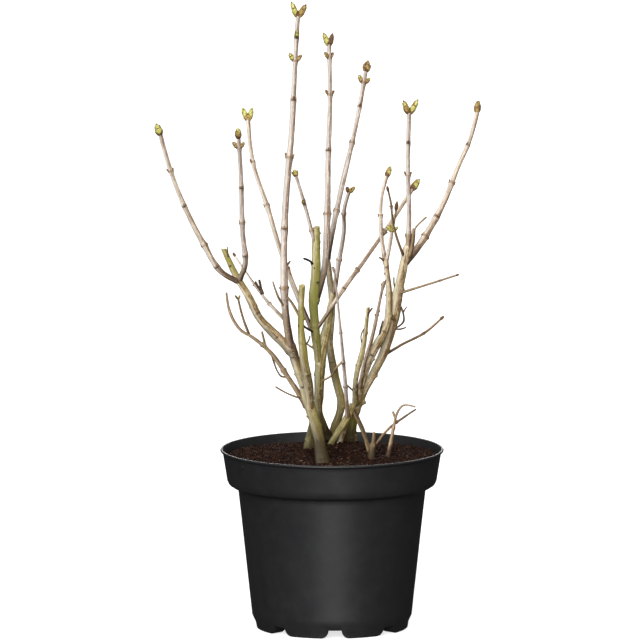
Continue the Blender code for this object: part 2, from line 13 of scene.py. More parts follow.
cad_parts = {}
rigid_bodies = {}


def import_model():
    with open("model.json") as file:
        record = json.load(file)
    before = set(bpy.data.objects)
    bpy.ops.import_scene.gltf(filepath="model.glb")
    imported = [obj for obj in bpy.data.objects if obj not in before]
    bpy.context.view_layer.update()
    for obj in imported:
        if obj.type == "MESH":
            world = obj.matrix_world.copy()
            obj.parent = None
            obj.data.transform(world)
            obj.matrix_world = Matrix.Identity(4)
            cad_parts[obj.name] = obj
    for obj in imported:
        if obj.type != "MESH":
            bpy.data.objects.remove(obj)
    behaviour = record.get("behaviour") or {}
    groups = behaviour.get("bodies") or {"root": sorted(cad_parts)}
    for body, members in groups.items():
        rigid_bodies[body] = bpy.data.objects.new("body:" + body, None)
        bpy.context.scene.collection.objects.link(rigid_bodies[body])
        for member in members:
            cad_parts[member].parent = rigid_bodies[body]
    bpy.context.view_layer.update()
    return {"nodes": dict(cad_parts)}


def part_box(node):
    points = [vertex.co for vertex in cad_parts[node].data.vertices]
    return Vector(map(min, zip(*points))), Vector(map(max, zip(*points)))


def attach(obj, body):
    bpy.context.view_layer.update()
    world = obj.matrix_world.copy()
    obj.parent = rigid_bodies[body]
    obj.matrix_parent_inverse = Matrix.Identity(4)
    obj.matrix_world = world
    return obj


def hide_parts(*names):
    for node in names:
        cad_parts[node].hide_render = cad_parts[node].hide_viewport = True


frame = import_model()
mm = 0.001
print("frame loaded with", len(frame["nodes"]), "nodes")


def linear(hexColour):
    # sRGB hex to linear numbers, with alpha
    channels = [int(hexColour[i:i + 2], 16) / 255 for i in (1, 3, 5)]
    return tuple(c / 12.92 if c <= 0.04045 else ((c + 0.055) / 1.055) ** 2.4 for c in channels) + (1.0,)


def addNode(tree, kind, inputs=None, stops=None, **settings):
    # an input is a value, a hex colour or another node's output; stops fill a colour ramp
    node = tree.nodes.new("ShaderNode" + kind)
    for name, value in settings.items():
        setattr(node, name, value)
    for name, value in (inputs or {}).items():
        if isinstance(value, bpy.types.NodeSocket):
            tree.links.new(value, node.inputs[name])
        elif isinstance(value, str):
            node.inputs[name].default_value = linear(value)
        else:
            node.inputs[name].default_value = value
    if stops:
        ramp = node.color_ramp
        while len(ramp.elements) < len(stops):
            ramp.elements.new(0.5)
        for element, (position, colour) in zip(ramp.elements, stops):
            element.position = position
            element.color = linear(colour)
    return node


def meshFrom(bm, name):
    mesh = bpy.data.meshes.new(name)
    bm.to_mesh(mesh)
    bm.free()
    return mesh


def newObject(name, data):
    thing = bpy.data.objects.new(name, data)
    bpy.context.scene.collection.objects.link(thing)
    return thing


def newMaterial(name):
    material = bpy.data.materials.new(name)
    material.use_nodes = True
    tree = material.node_tree
    return material, tree, tree.nodes["Principled BSDF"]


def mixColours(tree, factor, first, second):
    mixed = addNode(tree, "Mix", {"Factor": factor}, data_type="RGBA")
    for socket, value in ((mixed.inputs[6], first), (mixed.inputs[7], second)):
        if isinstance(value, str):
            socket.default_value = linear(value)
        else:
            tree.links.new(value, socket)
    return mixed.outputs[2]


def shareOf(tree, value, low, high, most=1.0):
    # how far a value has come from low to high, as a share that stops at most
    return addNode(tree, "MapRange", {"Value": value, "From Min": low, "From Max": high,
                                      "To Max": most}).outputs[0]


def amountOf(tree, attribute, pattern):
    # an amount painted on the mesh, with a pattern added so that its edges are ragged
    painted = addNode(tree, "Attribute", attribute_name=attribute).outputs["Fac"]
    return addNode(tree, "Math", {0: painted, 1: pattern}, operation="ADD").outputs[0]


def barkMaterial(name, look):
    # smooth lilac bark: bands and finer streaks that run with the limb, dark and pale blotches, a painted
    # highlight on the side that faces the key lamp and painted shade on the other, with short cracks and pale
    # lenticels; green algae comes by barkDamp, and dark stain mixed with painted shade by the stain attribute
    material, tree, shader = newMaterial(name)
    place = addNode(tree, "Attribute", attribute_name="barkPlace").outputs["Vector"]
    along = addNode(tree, "Mapping", {"Vector": place, "Scale": (1, 1, look["stretch"])}).outputs[0]
    streaks = addNode(tree, "TexNoise", {"Vector": along, "Scale": 1 / look["streakWidth"],
                                         "Detail": 4.0, "Roughness": 0.65}).outputs["Fac"]
    colour = addNode(tree, "ValToRGB", {"Fac": streaks}, stops=[
        (0.38, look["dark"]), (0.50, look["middle"]), (0.63, look["light"])]).outputs["Color"]
    bands = addNode(tree, "TexNoise", {"Vector": along, "Scale": 1 / look["bandWidth"],
                                       "Detail": 2.0}).outputs["Fac"]
    colour = mixColours(tree, shareOf(tree, bands, *look["bands"]), colour, look["band"])
    blotches = addNode(tree, "TexNoise", {"Vector": place, "Scale": 1 / look["blotchWidth"],
                                          "Detail": 5.0, "Roughness": 0.65}).outputs["Fac"]
    colour = mixColours(tree, shareOf(tree, blotches, *look["darkBlotches"]), colour, look["crack"])
    colour = mixColours(tree, shareOf(tree, blotches, *look["paleBlotches"]), colour, look["pale"])
    patches = addNode(tree, "TexNoise", {"Vector": along, "Scale": look["dampScale"], "Detail": 5.0,
                                         "Roughness": 0.6}).outputs["Fac"]
    # painted light: pale towards the key lamp as a painted highlight, band colour on the far side as painted
    # shade
    light = amountOf(tree, "barkPaintedLight", streaks)
    colour = mixColours(tree, shareOf(tree, light, *look["paintedHighlightSide"]), colour, look["pale"])
    colour = mixColours(tree, shareOf(tree, light, *look["paintedShadeSide"]), colour, look["band"])
    cracks = addNode(tree, "TexNoise", {"Vector": along, "Scale": 1 / look["crackWidth"],
                                        "Detail": 2.0}).outputs["Fac"]
    colour = mixColours(tree, shareOf(tree, cracks, *look["cracks"]), colour, look["crack"])
    spots = addNode(tree, "TexVoronoi", {"Vector": place, "Scale": 1 / look["lenticelPitch"]})
    spotShare = shareOf(tree, spots.outputs["Distance"], *look["lenticels"])
    colour = mixColours(tree, spotShare, colour, look["lenticel"])
    film = shareOf(tree, amountOf(tree, "barkDamp", patches), *look["film"])
    colour = mixColours(tree, film, colour, look["algae"])
    # dark stain: soil stain near the foot, mixed with painted shade at the feet, where limbs meet and low
    # among the stems
    stain = shareOf(tree, amountOf(tree, "barkStainAndShade", streaks), *look["stainsAndShade"])
    colour = mixColours(tree, stain, colour, look["stain"])
    tree.links.new(colour, shader.inputs["Base Color"])
    grain = addNode(tree, "TexNoise", {"Vector": along, "Scale": 1 / look["grainWidth"],
                                       "Detail": 4.0, "Roughness": 0.7}).outputs["Fac"]
    rough = addNode(tree, "MapRange", {"Value": grain, "To Min": look["roughness"] - 0.1,
                                       "To Max": look["roughness"] + 0.1})
    tree.links.new(rough.outputs[0], shader.inputs["Roughness"])
    shader.inputs["Specular IOR Level"].default_value = look["gloss"]
    bump = addNode(tree, "Bump", {"Height": grain, "Strength": look["bump"], "Distance": 0.4 * mm})
    tree.links.new(bump.outputs[0], shader.inputs["Normal"])
    return material


def mottledMaterial(name, look):
    # a dull plant or earth surface: speckles of a few colours with a fine uneven bump
    material, tree, shader = newMaterial(name)
    place = addNode(tree, "TexCoord").outputs["Object"]
    patches = addNode(tree, "TexNoise", {"Vector": place, "Scale": 1 / (look["patch"] * mm),
                                         "Detail": 5.0, "Roughness": look.get("contrast", 0.65)})
    step = 0.4 / (len(look["colours"]) - 1)
    colour = addNode(tree, "ValToRGB", {"Fac": patches.outputs["Fac"]},
                     stops=[(0.3 + step * i, c) for i, c in enumerate(look["colours"])])
    tree.links.new(colour.outputs["Color"], shader.inputs["Base Color"])
    shader.inputs["Roughness"].default_value = look["roughness"]
    shader.inputs["Specular IOR Level"].default_value = look.get("gloss", 0.4)
    grain = addNode(tree, "TexNoise", {"Vector": place, "Scale": 1 / (look["grain"] * mm), "Detail": 3.0})
    bump = addNode(tree, "Bump", {"Height": grain.outputs["Fac"], "Strength": look["bump"],
                                  "Distance": look["grain"] * mm})
    tree.links.new(bump.outputs[0], shader.inputs["Normal"])
    return material


# widths are in millimetres; a row of three says where on a pattern its colour begins, where it is full,
# and how much of it there is at most
barkCommon = {
    "stretch": 0.07, "streakWidth": 1.5, "bandWidth": 3.6, "blotchWidth": 5.0, "crackWidth": 0.9,
    "grainWidth": 0.5, "lenticelPitch": 5.0, "dampScale": 0.35, "roughness": 0.75, "gloss": 0.3, "bump": 0.7,
    "bands": (0.46, 0.57, 0.9), "darkBlotches": (0.52, 0.60, 0.45), "paleBlotches": (0.46, 0.36, 0.45),
    "paintedHighlightSide": (0.8, 1.3, 0.85), "paintedShadeSide": (0.45, -0.15, 0.55), "cracks": (0.40, 0.28, 0.85),
    "lenticels": (0.17, 0.10, 0.6), "film": (0.68, 1.15, 0.92), "stainsAndShade": (0.68, 1.25, 0.9),
    "crack": "#3f2d1c", "lenticel": "#d2c09a", "stain": "#2e2115"}
barkLooks = {
    "tan": {"light": "#e4cfa6", "middle": "#b89a6e", "dark": "#694b2e", "band": "#7c583b",
            "pale": "#f2e6c8", "algae": "#958d3e"},
    "olive": {"light": "#e2d096", "middle": "#b8a160", "dark": "#66502a", "band": "#80623a",
              "pale": "#f2e6bc", "algae": "#8a8840"},
    "cream": {"light": "#e6dcbe", "middle": "#cbbc91", "dark": "#8f774c", "band": "#a0865a",
              "pale": "#ece3ca", "algae": "#9c8a48", "stain": "#40331c"},
    "dead": {"light": "#b89c6e", "middle": "#8a6d48", "dark": "#4c3825", "band": "#624a32",
             "pale": "#c2a87c", "algae": "#6a5a38"},
    "rosy": {"light": "#cfb499", "middle": "#a5866d", "dark": "#684a37", "band": "#7d5c46",
             "pale": "#d9c5aa", "algae": "#85784b"},
}
barkMaterials = {name: barkMaterial(name + "LilacBark", {**barkCommon, **colours})
                 for name, colours in barkLooks.items()}

# one year old shoots: thin papery bark, paler and smoother, with a silky look
youngCommon = {
    **barkCommon, "stretch": 0.05, "streakWidth": 0.9, "bandWidth": 2.6, "blotchWidth": 4.0,
    "crackWidth": 0.6, "lenticelPitch": 3.4, "roughness": 0.6, "gloss": 0.4, "bump": 0.3,
    "bands": (0.46, 0.57, 0.65), "darkBlotches": (0.52, 0.60, 0.25), "paleBlotches": (0.46, 0.36, 0.25),
    "cracks": (0.40, 0.28, 0.45), "crack": "#6e5644", "stain": "#3a2416", "lenticel": "#ece0d0",
    "algae": "#8f8350"}
youngLooks = {
    "pale": {"light": "#e9dbcd", "middle": "#c0a692", "dark": "#7d6351",
             "band": "#866a56", "pale": "#f9f1e8"},
    "warm": {"light": "#ecdcc6", "middle": "#ccb295", "dark": "#80634b",
             "band": "#866850", "pale": "#faf1e4"},
    "brown": {"light": "#b3956c", "middle": "#8a6c4a", "dark": "#553e2b",
              "band": "#664b34", "pale": "#bfa682"},
    "node": {"light": "#c2a78a", "middle": "#9f8163", "dark": "#624834",
             "band": "#7d6049", "pale": "#cbb49a"},
    "base": {"light": "#c4ab8e", "middle": "#9c7f60", "dark": "#5b4431",
             "band": "#6e523b", "pale": "#d2bea2"},
}
youngMaterials = [barkMaterial(name + "YoungBark", {**youngCommon, **colours})
                  for name, colours in youngLooks.items()]
youngSlots = {name: number for number, name in enumerate(youngLooks)}

cutWood = mottledMaterial("prunedWood", {        # dry end grain: dull, pale and slightly green
    "colours": ["#94824f", "#bfae78", "#d3c596"], "patch": 1.2, "grain": 0.4, "roughness": 0.85, "bump": 0.4})
deadWood = mottledMaterial("deadTwigBark", {     # dry dead bark: brown, matt and cracked
    "colours": ["#3a2a1d", "#5c4530", "#866a4c"], "patch": 2.4, "grain": 0.5, "roughness": 0.85, "bump": 0.5})
blackWood = mottledMaterial("blackTwigBark", {   # a twig that died back and turned black with mould
    "colours": ["#14100c", "#241c15", "#3c3024"], "patch": 2.4, "grain": 0.5, "roughness": 0.9, "bump": 0.5})


def finishPiece(bm, name, materials, replaced=(), sharpAngle=None):
    # a mesh in millimetres becomes a piece in metres that rides with the pot
    bmesh.ops.scale(bm, vec=(mm, mm, mm), verts=bm.verts)
    bmesh.ops.recalc_face_normals(bm, faces=bm.faces)
    mesh = meshFrom(bm, name)
    for material in materials:
        mesh.materials.append(material)
    mesh.shade_smooth()
    if sharpAngle:
        mesh.set_sharp_from_angle(angle=radians(sharpAngle))
    piece = newObject(name, mesh)
    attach(piece, "root")
    if replaced:
        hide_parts(*replaced)
    return piece


def joinInto(whole, part):
    mesh = meshFrom(part, "part")
    whole.from_mesh(mesh)
    bpy.data.meshes.remove(mesh)


def blankLimbMesh():
    # painted on every limb: its place on its bark, damp, stain mixed with painted shade, and painted light
    bm = bmesh.new()
    bm.verts.layers.float_vector.new("barkPlace")
    for name in ("barkDamp", "barkStainAndShade", "barkPaintedLight"):
        bm.verts.layers.float.new(name)
    return bm


def smoothCourse(points, step):
    # places and radii about a step apart on a smooth curve through the named points
    places = [Vector(point[:3]) for point in points]
    radii = [point[3] for point in points]
    spans = [(after - before).length for before, after in zip(places, places[1:])]
    headings = [None] * len(places)
    for i in range(1, len(places) - 1):
        before = (places[i] - places[i - 1]) / spans[i - 1]
        after = (places[i + 1] - places[i]) / spans[i]
        headings[i] = (before * spans[i] + after * spans[i - 1]) / (spans[i - 1] + spans[i])
    headings[0] = 1.5 * (places[1] - places[0]) / spans[0] - 0.5 * (headings[1] or Vector())
    headings[-1] = 1.5 * (places[-1] - places[-2]) / spans[-1] - 0.5 * (headings[-2] or Vector())
    course = []
    for i, span in enumerate(spans):
        count = max(2, round(span / step) + 1)
        curve = interpolate_bezier(places[i], places[i] + headings[i] * span / 3,
                                   places[i + 1] - headings[i + 1] * span / 3, places[i + 1], count)
        for k, place in enumerate(curve[:-1]):
            share = k / (count - 1)
            course.append((Vector(place), radii[i] + (radii[i + 1] - radii[i]) * share))
    course.append((places[-1], radii[-1]))
    return course


def courseLengths(course):
    lengths = [0.0]
    for (before, _), (after, _) in zip(course, course[1:]):
        lengths.append(lengths[-1] + (after - before).length)
    return lengths


def pointAt(course, share):
    # place, heading, radius and length along at a share of a course's length
    lengths = courseLengths(course)
    at = share * lengths[-1]
    i = max(k for k, length in enumerate(lengths[:-1]) if length <= at)
    part = (at - lengths[i]) / (lengths[i + 1] - lengths[i])
    place = course[i][0].lerp(course[i + 1][0], part)
    radius = course[i][1] + (course[i + 1][1] - course[i][1]) * part
    return place, (course[i + 1][0] - course[i][0]).normalized(), radius, at


def across(heading):
    return heading.cross(Vector((0, 1, 0))).normalized()


seedShift = Vector((37.0, 17.0, 91.0))       # sets the patterns of one limb off from the next one's
# painted light: bark that faces this way, towards the key lamp, gets a painted highlight, the far side
# painted shade
paintedLightFrom = (-0.8, -0.45)                      # the sun stands to the left and in front
fluteScale, ridgeStretch, grainScale = (0.16, 0.035), 0.12, 1.1


def growLimb(course, sides, look, seed, bumps=(), paint=None, closed=True, narrowFoot=0.0):
    # a flat grid is rolled round the course: x runs along it and y goes round it.
    # a bump is (length along, direction or None for all round, rise, reach, narrowness, stain)
    bm = blankLimbMesh()
    placeLayer = bm.verts.layers.float_vector["barkPlace"]
    dampLayer, stainAndShadeLayer, paintedLightLayer = (bm.verts.layers.float[name]
                                         for name in ("barkDamp", "barkStainAndShade", "barkPaintedLight"))
    grid = bmesh.ops.create_grid(bm, x_segments=len(course) - 1, y_segments=sides, size=1)["verts"]
    lengths = courseLengths(course)
    heading = (course[1][0] - course[0][0]).normalized()
    turn = heading.to_track_quat("Z", "X")
    rings = []
    for i in range(len(course)):
        newHeading = (course[min(i + 1, len(course) - 1)][0] - course[max(i - 1, 0)][0]).normalized()
        turn = heading.rotation_difference(newHeading) @ turn
        heading = newHeading
        near = [bump for bump in bumps if abs(bump[0] - lengths[i]) < 3 * bump[3]]
        rings.append((turn @ Vector((1, 0, 0)), turn @ Vector((0, 1, 0)), near))
    shift = seedShift * seed
    for vert in grid:
        i = round((vert.co.x + 1) / 2 * (len(course) - 1))
        angle = -(vert.co.y + 1) * pi
        place, radius = course[i]
        if narrowFoot:
            radius *= 0.55 + 0.45 * min(1.0, lengths[i] / narrowFoot)
        first, second, near = rings[i]
        radial = first * cos(angle) + second * sin(angle)
        spot = Vector((radius * cos(angle), radius * sin(angle), lengths[i])) + shift
        pitch = look["ridgePitch"]
        ridge = Vector((spot.x * pitch, spot.y * pitch, spot.z * pitch * ridgeStretch))
        flute = Vector((spot.x * fluteScale[0], spot.y * fluteScale[0], spot.z * fluteScale[1]))
        rise = (look["flute"] * radius * noise.noise(flute) + look["ridge"] * noise.noise(ridge)
                + look["grain"] * noise.noise(spot * grainScale))
        stain = 0.0
        for at, out, height, reach, narrow, dark in near:
            weight = 1.0 if out is None else max(0.0, radial.dot(out)) ** narrow
            weight *= exp(-((lengths[i] - at) / reach) ** 2)
            rise += height * weight
            stain = max(stain, dark * weight)
        vert.co = place + radial * (radius + rise)
        vert[placeLayer] = spot
        damp, shade = paint(vert.co, radial) if paint else (0.0, 0.0)
        vert[dampLayer] = damp
        # the stain of knots and scars, or the darkening from the shade table, which is partly painted shade
        vert[stainAndShadeLayer] = max(shade, stain)
        # painted highlight on the side towards the key lamp, painted shade on the far side
        vert[paintedLightLayer] = paintedLightFrom[0] * radial.x + paintedLightFrom[1] * radial.y
        vert.index = i
    foot = [vert for vert in grid if vert.index == 0]
    tip = [vert for vert in grid if vert.index == len(course) - 1]
    bmesh.ops.remove_doubles(bm, verts=grid, dist=0.0001)
    if closed:
        for end in (foot, tip):
            members = {vert for vert in end if vert.is_valid}
            edges = {edge for vert in members for edge in vert.link_edges if edge.other_vert(vert) in members}
            bmesh.ops.edgeloop_fill(bm, edges=list(edges))
    return bm


potLow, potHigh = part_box("pot")
potLook = {
    "height": potHigh.z / mm, "rimRadius": potHigh.x / mm, "wall": 1.7, "steps": 192,
    "collarTop": 109.4, "collarFoot": 105.0, "collarDrop": 37.7, "wallTop": 94.4, "wallFoot": 80.0,
    "wallFootHeight": 13.2, "footRadius": 76.2, "footInner": 62.0, "underside": 6.8, "padRadius": 25.0,
    "floor": 9.5, "gaps": 8, "gapTurn": 2.3, "gapHeight": 8.6, "gapWidth": 13.0, "softness": 0.9,
    "softAngle": 22, "hubRadius": 30.0, "ripple": 0.22, "cutterInset": 8.0, "cutterDepth": 30.0,
}


def potPlastic():
    # blow-moulded polypropylene, black right through: a satin skin with a faint orange peel
    material, tree, shader = newMaterial("blackPolypropylene")
    place = addNode(tree, "TexCoord").outputs["Object"]
    shader.inputs["Specular IOR Level"].default_value = 0.5
    dust = addNode(tree, "TexNoise", {"Vector": place, "Scale": 1 / (14 * mm), "Detail": 6.0,
                                      "Roughness": 0.65}).outputs["Fac"]
    colour = addNode(tree, "ValToRGB", {"Fac": dust},
                     stops=[(0.35, "#222224"), (0.60, "#272728"), (0.80, "#2e2e2f")])
    tree.links.new(colour.outputs["Color"], shader.inputs["Base Color"])
    rough = addNode(tree, "MapRange", {"Value": dust, "To Min": 0.38, "To Max": 0.46})
    tree.links.new(rough.outputs[0], shader.inputs["Roughness"])
    peel = addNode(tree, "TexNoise", {"Vector": place, "Scale": 1 / (1.3 * mm), "Detail": 2.0})
    bump = addNode(tree, "Bump", {"Height": peel.outputs["Fac"], "Strength": 0.1, "Distance": 0.3 * mm})
    tree.links.new(bump.outputs[0], shader.inputs["Normal"])
    return material


def spun(profile, steps):
    # a closed profile of (radius, height) turned once round the pot's axis
    bm = bmesh.new()
    verts = [bm.verts.new((radius, 0, height)) for radius, height in profile]
    edges = [bm.edges.new(pair) for pair in zip(verts, verts[1:])]
    bmesh.ops.spin(bm, geom=verts + edges, axis=(0, 0, 1), cent=(0, 0, 0), dvec=(0, 0, 0),
                   angle=2 * pi, steps=steps, use_merge=True)
    bmesh.ops.remove_doubles(bm, verts=bm.verts, dist=0.01)
    return bm


def stretch(start, end, count):
    # points between two profile corners, so that a long wall can ripple
    return [(start[0] + (end[0] - start[0]) * i / count, start[1] + (end[1] - start[1]) * i / count)
            for i in range(1, count)]


def wallInside(height):
    look = potLook
    collarFoot = look["height"] - look["collarDrop"]
    share = (height - look["wallFootHeight"]) / (collarFoot - look["wallFootHeight"])
    return look["wallFoot"] + (look["wallTop"] - look["wallFoot"]) * share - look["wall"]


def collarInside(height):
    look = potLook
    top = look["height"] - 5.0
    foot = look["height"] - look["collarDrop"] + 6.6
    share = (height - foot) / (top - foot)
    return look["collarFoot"] + (look["collarTop"] - look["collarFoot"]) * share - look["wall"]


def makePot():
    look = potLook
    top, rim = look["height"], look["rimRadius"]
    collarFoot = top - look["collarDrop"]
    wallLow, wallHigh = (look["wallFoot"], look["wallFootHeight"]), (look["wallTop"], collarFoot)
    bandLow, bandHigh = (look["collarFoot"], collarFoot + 6.0), (look["collarTop"], top - 3.6)
    # the pad, the hollow underside and the ring of feet, then the wall
    profile = [(0, 0), (look["padRadius"], 0), (look["padRadius"] + 3, look["underside"]),
               (look["footInner"] - 2, look["underside"]), (look["footInner"], 0),
               (look["footRadius"] - 1, 0), (look["footRadius"], 1), (look["footRadius"] + 0.7, 6.5), wallLow]
    profile += stretch(wallLow, wallHigh, 22) + [wallHigh]
    # the ledge under the collar, the collar's band and the rolled rim
    profile += [(look["wallTop"] + 5.5, collarFoot + 0.6), (look["collarFoot"] - 1.6, collarFoot + 2.8),
                bandLow]
    profile += stretch(bandLow, bandHigh, 7) + [bandHigh]
    profile += [(rim - 1.0, top - 2.7), (rim, top - 1.5), (rim - 0.8, top - 0.3), (rim - 1.6, top),
                (rim - 2.7, top - 0.5), (collarInside(top - 5), top - 5)]
    # down the inside to the floor
    profile += [(collarInside(collarFoot + 7.6), collarFoot + 7.6),
                (look["collarFoot"] - 4, collarFoot + 3.4), (wallInside(collarFoot), collarFoot + 1.8),
                (wallInside(look["wallFootHeight"]), look["wallFootHeight"]),
                (look["footRadius"], look["floor"]), (0, look["floor"])]
    bm = spun(profile, look["steps"])
    bmesh.ops.recalc_face_normals(bm, faces=bm.faces)
    rounded = []                    # the moulded corners are soft, so their rings are bevelled
    for edge in bm.edges:
        level = abs(edge.verts[0].co.z - edge.verts[1].co.z) < 0.01
        outer = edge.verts[0].co.xy.length > look["hubRadius"]
        if level and outer and edge.is_manifold and edge.calc_face_angle() > radians(look["softAngle"]):
            rounded.append(edge)
    bmesh.ops.bevel(bm, geom=rounded, offset=look["softness"], segments=3, profile=0.5, affect="EDGES",
                    material=-1, clamp_overlap=True)
    for vert in bm.verts:                          # thin blown walls are never quite round
        share = min(1.0, max(0.0, (vert.co.z - 16) / 20)) * min(1.0, max(0.0, (top - 7 - vert.co.z) / 12))
        wave = noise.noise(Vector((vert.co.x * 0.021, vert.co.y * 0.021, vert.co.z * 0.014)))
        vert.co.xy += vert.co.xy.normalized() * look["ripple"] * share * (wave - 0.5)
    body = newObject("potBody", meshFrom(bm, "potBody"))
    cutters = bpy.data.collections.new("footGaps")
    bpy.context.scene.collection.children.link(cutters)
    for k in range(look["gaps"]):
        cutters.objects.link(footGap(pi + radians(look["gapTurn"]) + k * 2 * pi / look["gaps"]))
    carve = body.modifiers.new("carve", "BOOLEAN")
    carve.operation = "DIFFERENCE"
    carve.operand_type = "COLLECTION"
    carve.collection = cutters
    carved = bmesh.new()
    carved.from_object(body, bpy.context.evaluated_depsgraph_get())
    for thing in list(cutters.objects) + [body]:
        bpy.data.objects.remove(thing, do_unlink=True)
    bpy.data.collections.remove(cutters)
    return finishPiece(carved, "potShell", [potPlastic()], ["pot"], sharpAngle=38)


def footGap(turn):
    # upright above and flared below, where the corners of the feet are round
    look = potLook
    half = []
    arcSteps = 8
    for step in range(arcSteps + 1):
        angle = radians(90 * step / arcSteps)
        width = look["gapWidth"] / 2 + look["gapHeight"] * (1 - cos(angle))
        half.append((width, look["gapHeight"] * (1 - sin(angle))))
    half.append((half[-1][0], -2.0))
    bm = bmesh.new()
    outline = [(-width, height) for width, height in reversed(half)] + half
    near = look["footInner"] - look["cutterInset"]
    face = bm.faces.new([bm.verts.new((width, near, height)) for width, height in outline])
    grown = bmesh.ops.extrude_face_region(bm, geom=[face])["geom"]
    pushed = [part for part in grown if isinstance(part, bmesh.types.BMVert)]
    bmesh.ops.translate(bm, verts=pushed, vec=(0, look["cutterDepth"], 0))
    bmesh.ops.rotate(bm, verts=bm.verts, cent=(0, 0, 0), matrix=Matrix.Rotation(turn, 3, "Z"))
    bmesh.ops.recalc_face_normals(bm, faces=bm.faces)
    return bpy.data.objects.new("footGap", meshFrom(bm, "footGap"))


makePot()
print("pot made")


soilLook = {
    "edgeHeight": 172.5, "underside": 150.0, "rings": 95, "steps": 240, "backDip": 3.0,
    "moundX": 5.0, "moundY": 25.0, "rise": 8.0, "spread": 38.0,
    "clod": 1.5, "clodSize": 9.0, "crumbs": 6500, "crumbSize": (0.9, 2.6), "crumbKinds": 6,
    "fibres": 520, "fibreKinds": 5, "chips": 120,
    "heap": 70,                      # crumbs round each stem where it leaves the peat: x, y, radius
    "feet": ((-8.5, -49, 6.6), (-22.5, 18, 5.2), (-3, 59, 5.2), (18, 60, 6.2), (-5, 18, 3.5), (6, 24, 2.5),
             (39, -30, 3.6), (55, -15, 2.7)),
    "seed": 4,
}
soilRadius = collarInside(soilLook["edgeHeight"]) - 0.3


def soilTop(x, y):
    look = soilLook
    off = (x - look["moundX"]) ** 2 + (y - look["moundY"]) ** 2
    edge = max(0.0, 1 - (x * x + y * y) ** 0.5 / soilRadius)
    mound = look["rise"] * exp(-off / (2 * look["spread"] ** 2)) * min(1.0, 4 * edge)
    clods = noise.fractal(Vector((x, y, 0)) / look["clodSize"], 0.7, 2.1, 4)
    dip = look["backDip"] * max(0.0, (y - 60) / 45)
    return look["edgeHeight"] + mound - dip + look["clod"] * (clods - 0.35) * min(1.0, 12 * edge + 0.25)


def makeSoil():
    look = soilLook
    rings, underside = look["rings"], look["underside"]
    top = [(soilRadius * (1 - i / rings), look["edgeHeight"]) for i in range(rings + 1)]
    bm = spun([(0, underside), (soilRadius - 4, underside)] + top, look["steps"])
    for vert in bm.verts:
        if vert.co.z > underside + 10:
            vert.co.z = soilTop(vert.co.x, vert.co.y)
    earth = mottledMaterial("pottingPeat", {     # damp peat: soaks up light, with paler dry crumbs
        "colours": ["#090402", "#130905", "#231109", "#371d0f"], "patch": 3.2, "grain": 0.9,
        "roughness": 0.95, "bump": 1.0, "gloss": 0.15})
    return finishPiece(bm, "peatSurface", [earth], ["soil"])


def scatter(name, templates, spots, material):
    # joins many turned and scaled copies; a spot is (template number, 3 x 3 matrix, place)
    points, polygons, used = [], [], 0
    for number, turn, place in spots:
        shape, faces = templates[number]
        points.append(shape @ np.array(turn).T + np.array(place))
        polygons += (faces + used).tolist()
        used += len(shape)
    mesh = bpy.data.meshes.new(name)
    mesh.from_pydata(np.concatenate(points).tolist(), [], polygons)
    bm = bmesh.new()
    bm.from_mesh(mesh)
    bpy.data.meshes.remove(mesh)
    return finishPiece(bm, name, [material])


def asTemplate(bm):
    # a small mesh as arrays, ready to be copied many times
    shape = np.array([vert.co[:] for vert in bm.verts])
    faces = np.array([[vert.index for vert in face.verts] for face in bm.faces])
    bm.free()
    return shape, faces


def crumbShape(seed):
    bm = bmesh.new()
    bmesh.ops.create_icosphere(bm, subdivisions=1, radius=1)
    for vert in bm.verts:
        vert.co *= 1 + 0.45 * noise.noise(vert.co * 1.7 + Vector((seed * 9.0, 0, 0)))
    return asTemplate(bm)


def strandShape(seed):
    # a thin curved fibre, three-sided and one long
    chance = Random(seed)
    width, spans = 0.05, 4
    points = [(0, 0, 0, width)]
    for i in range(1, spans + 1):
        points.append((chance.uniform(-0.12, 0.12), chance.uniform(-0.16, 0.16), i / spans,
                       width * (1 - 0.15 * i)))
    plain = {"flute": 0, "ridge": 0, "grain": 0, "ridgePitch": 1}
    bm = growLimb(smoothCourse(points, 1 / spans), 3, plain, seed)
    bmesh.ops.triangulate(bm, faces=bm.faces)
    return asTemplate(bm)


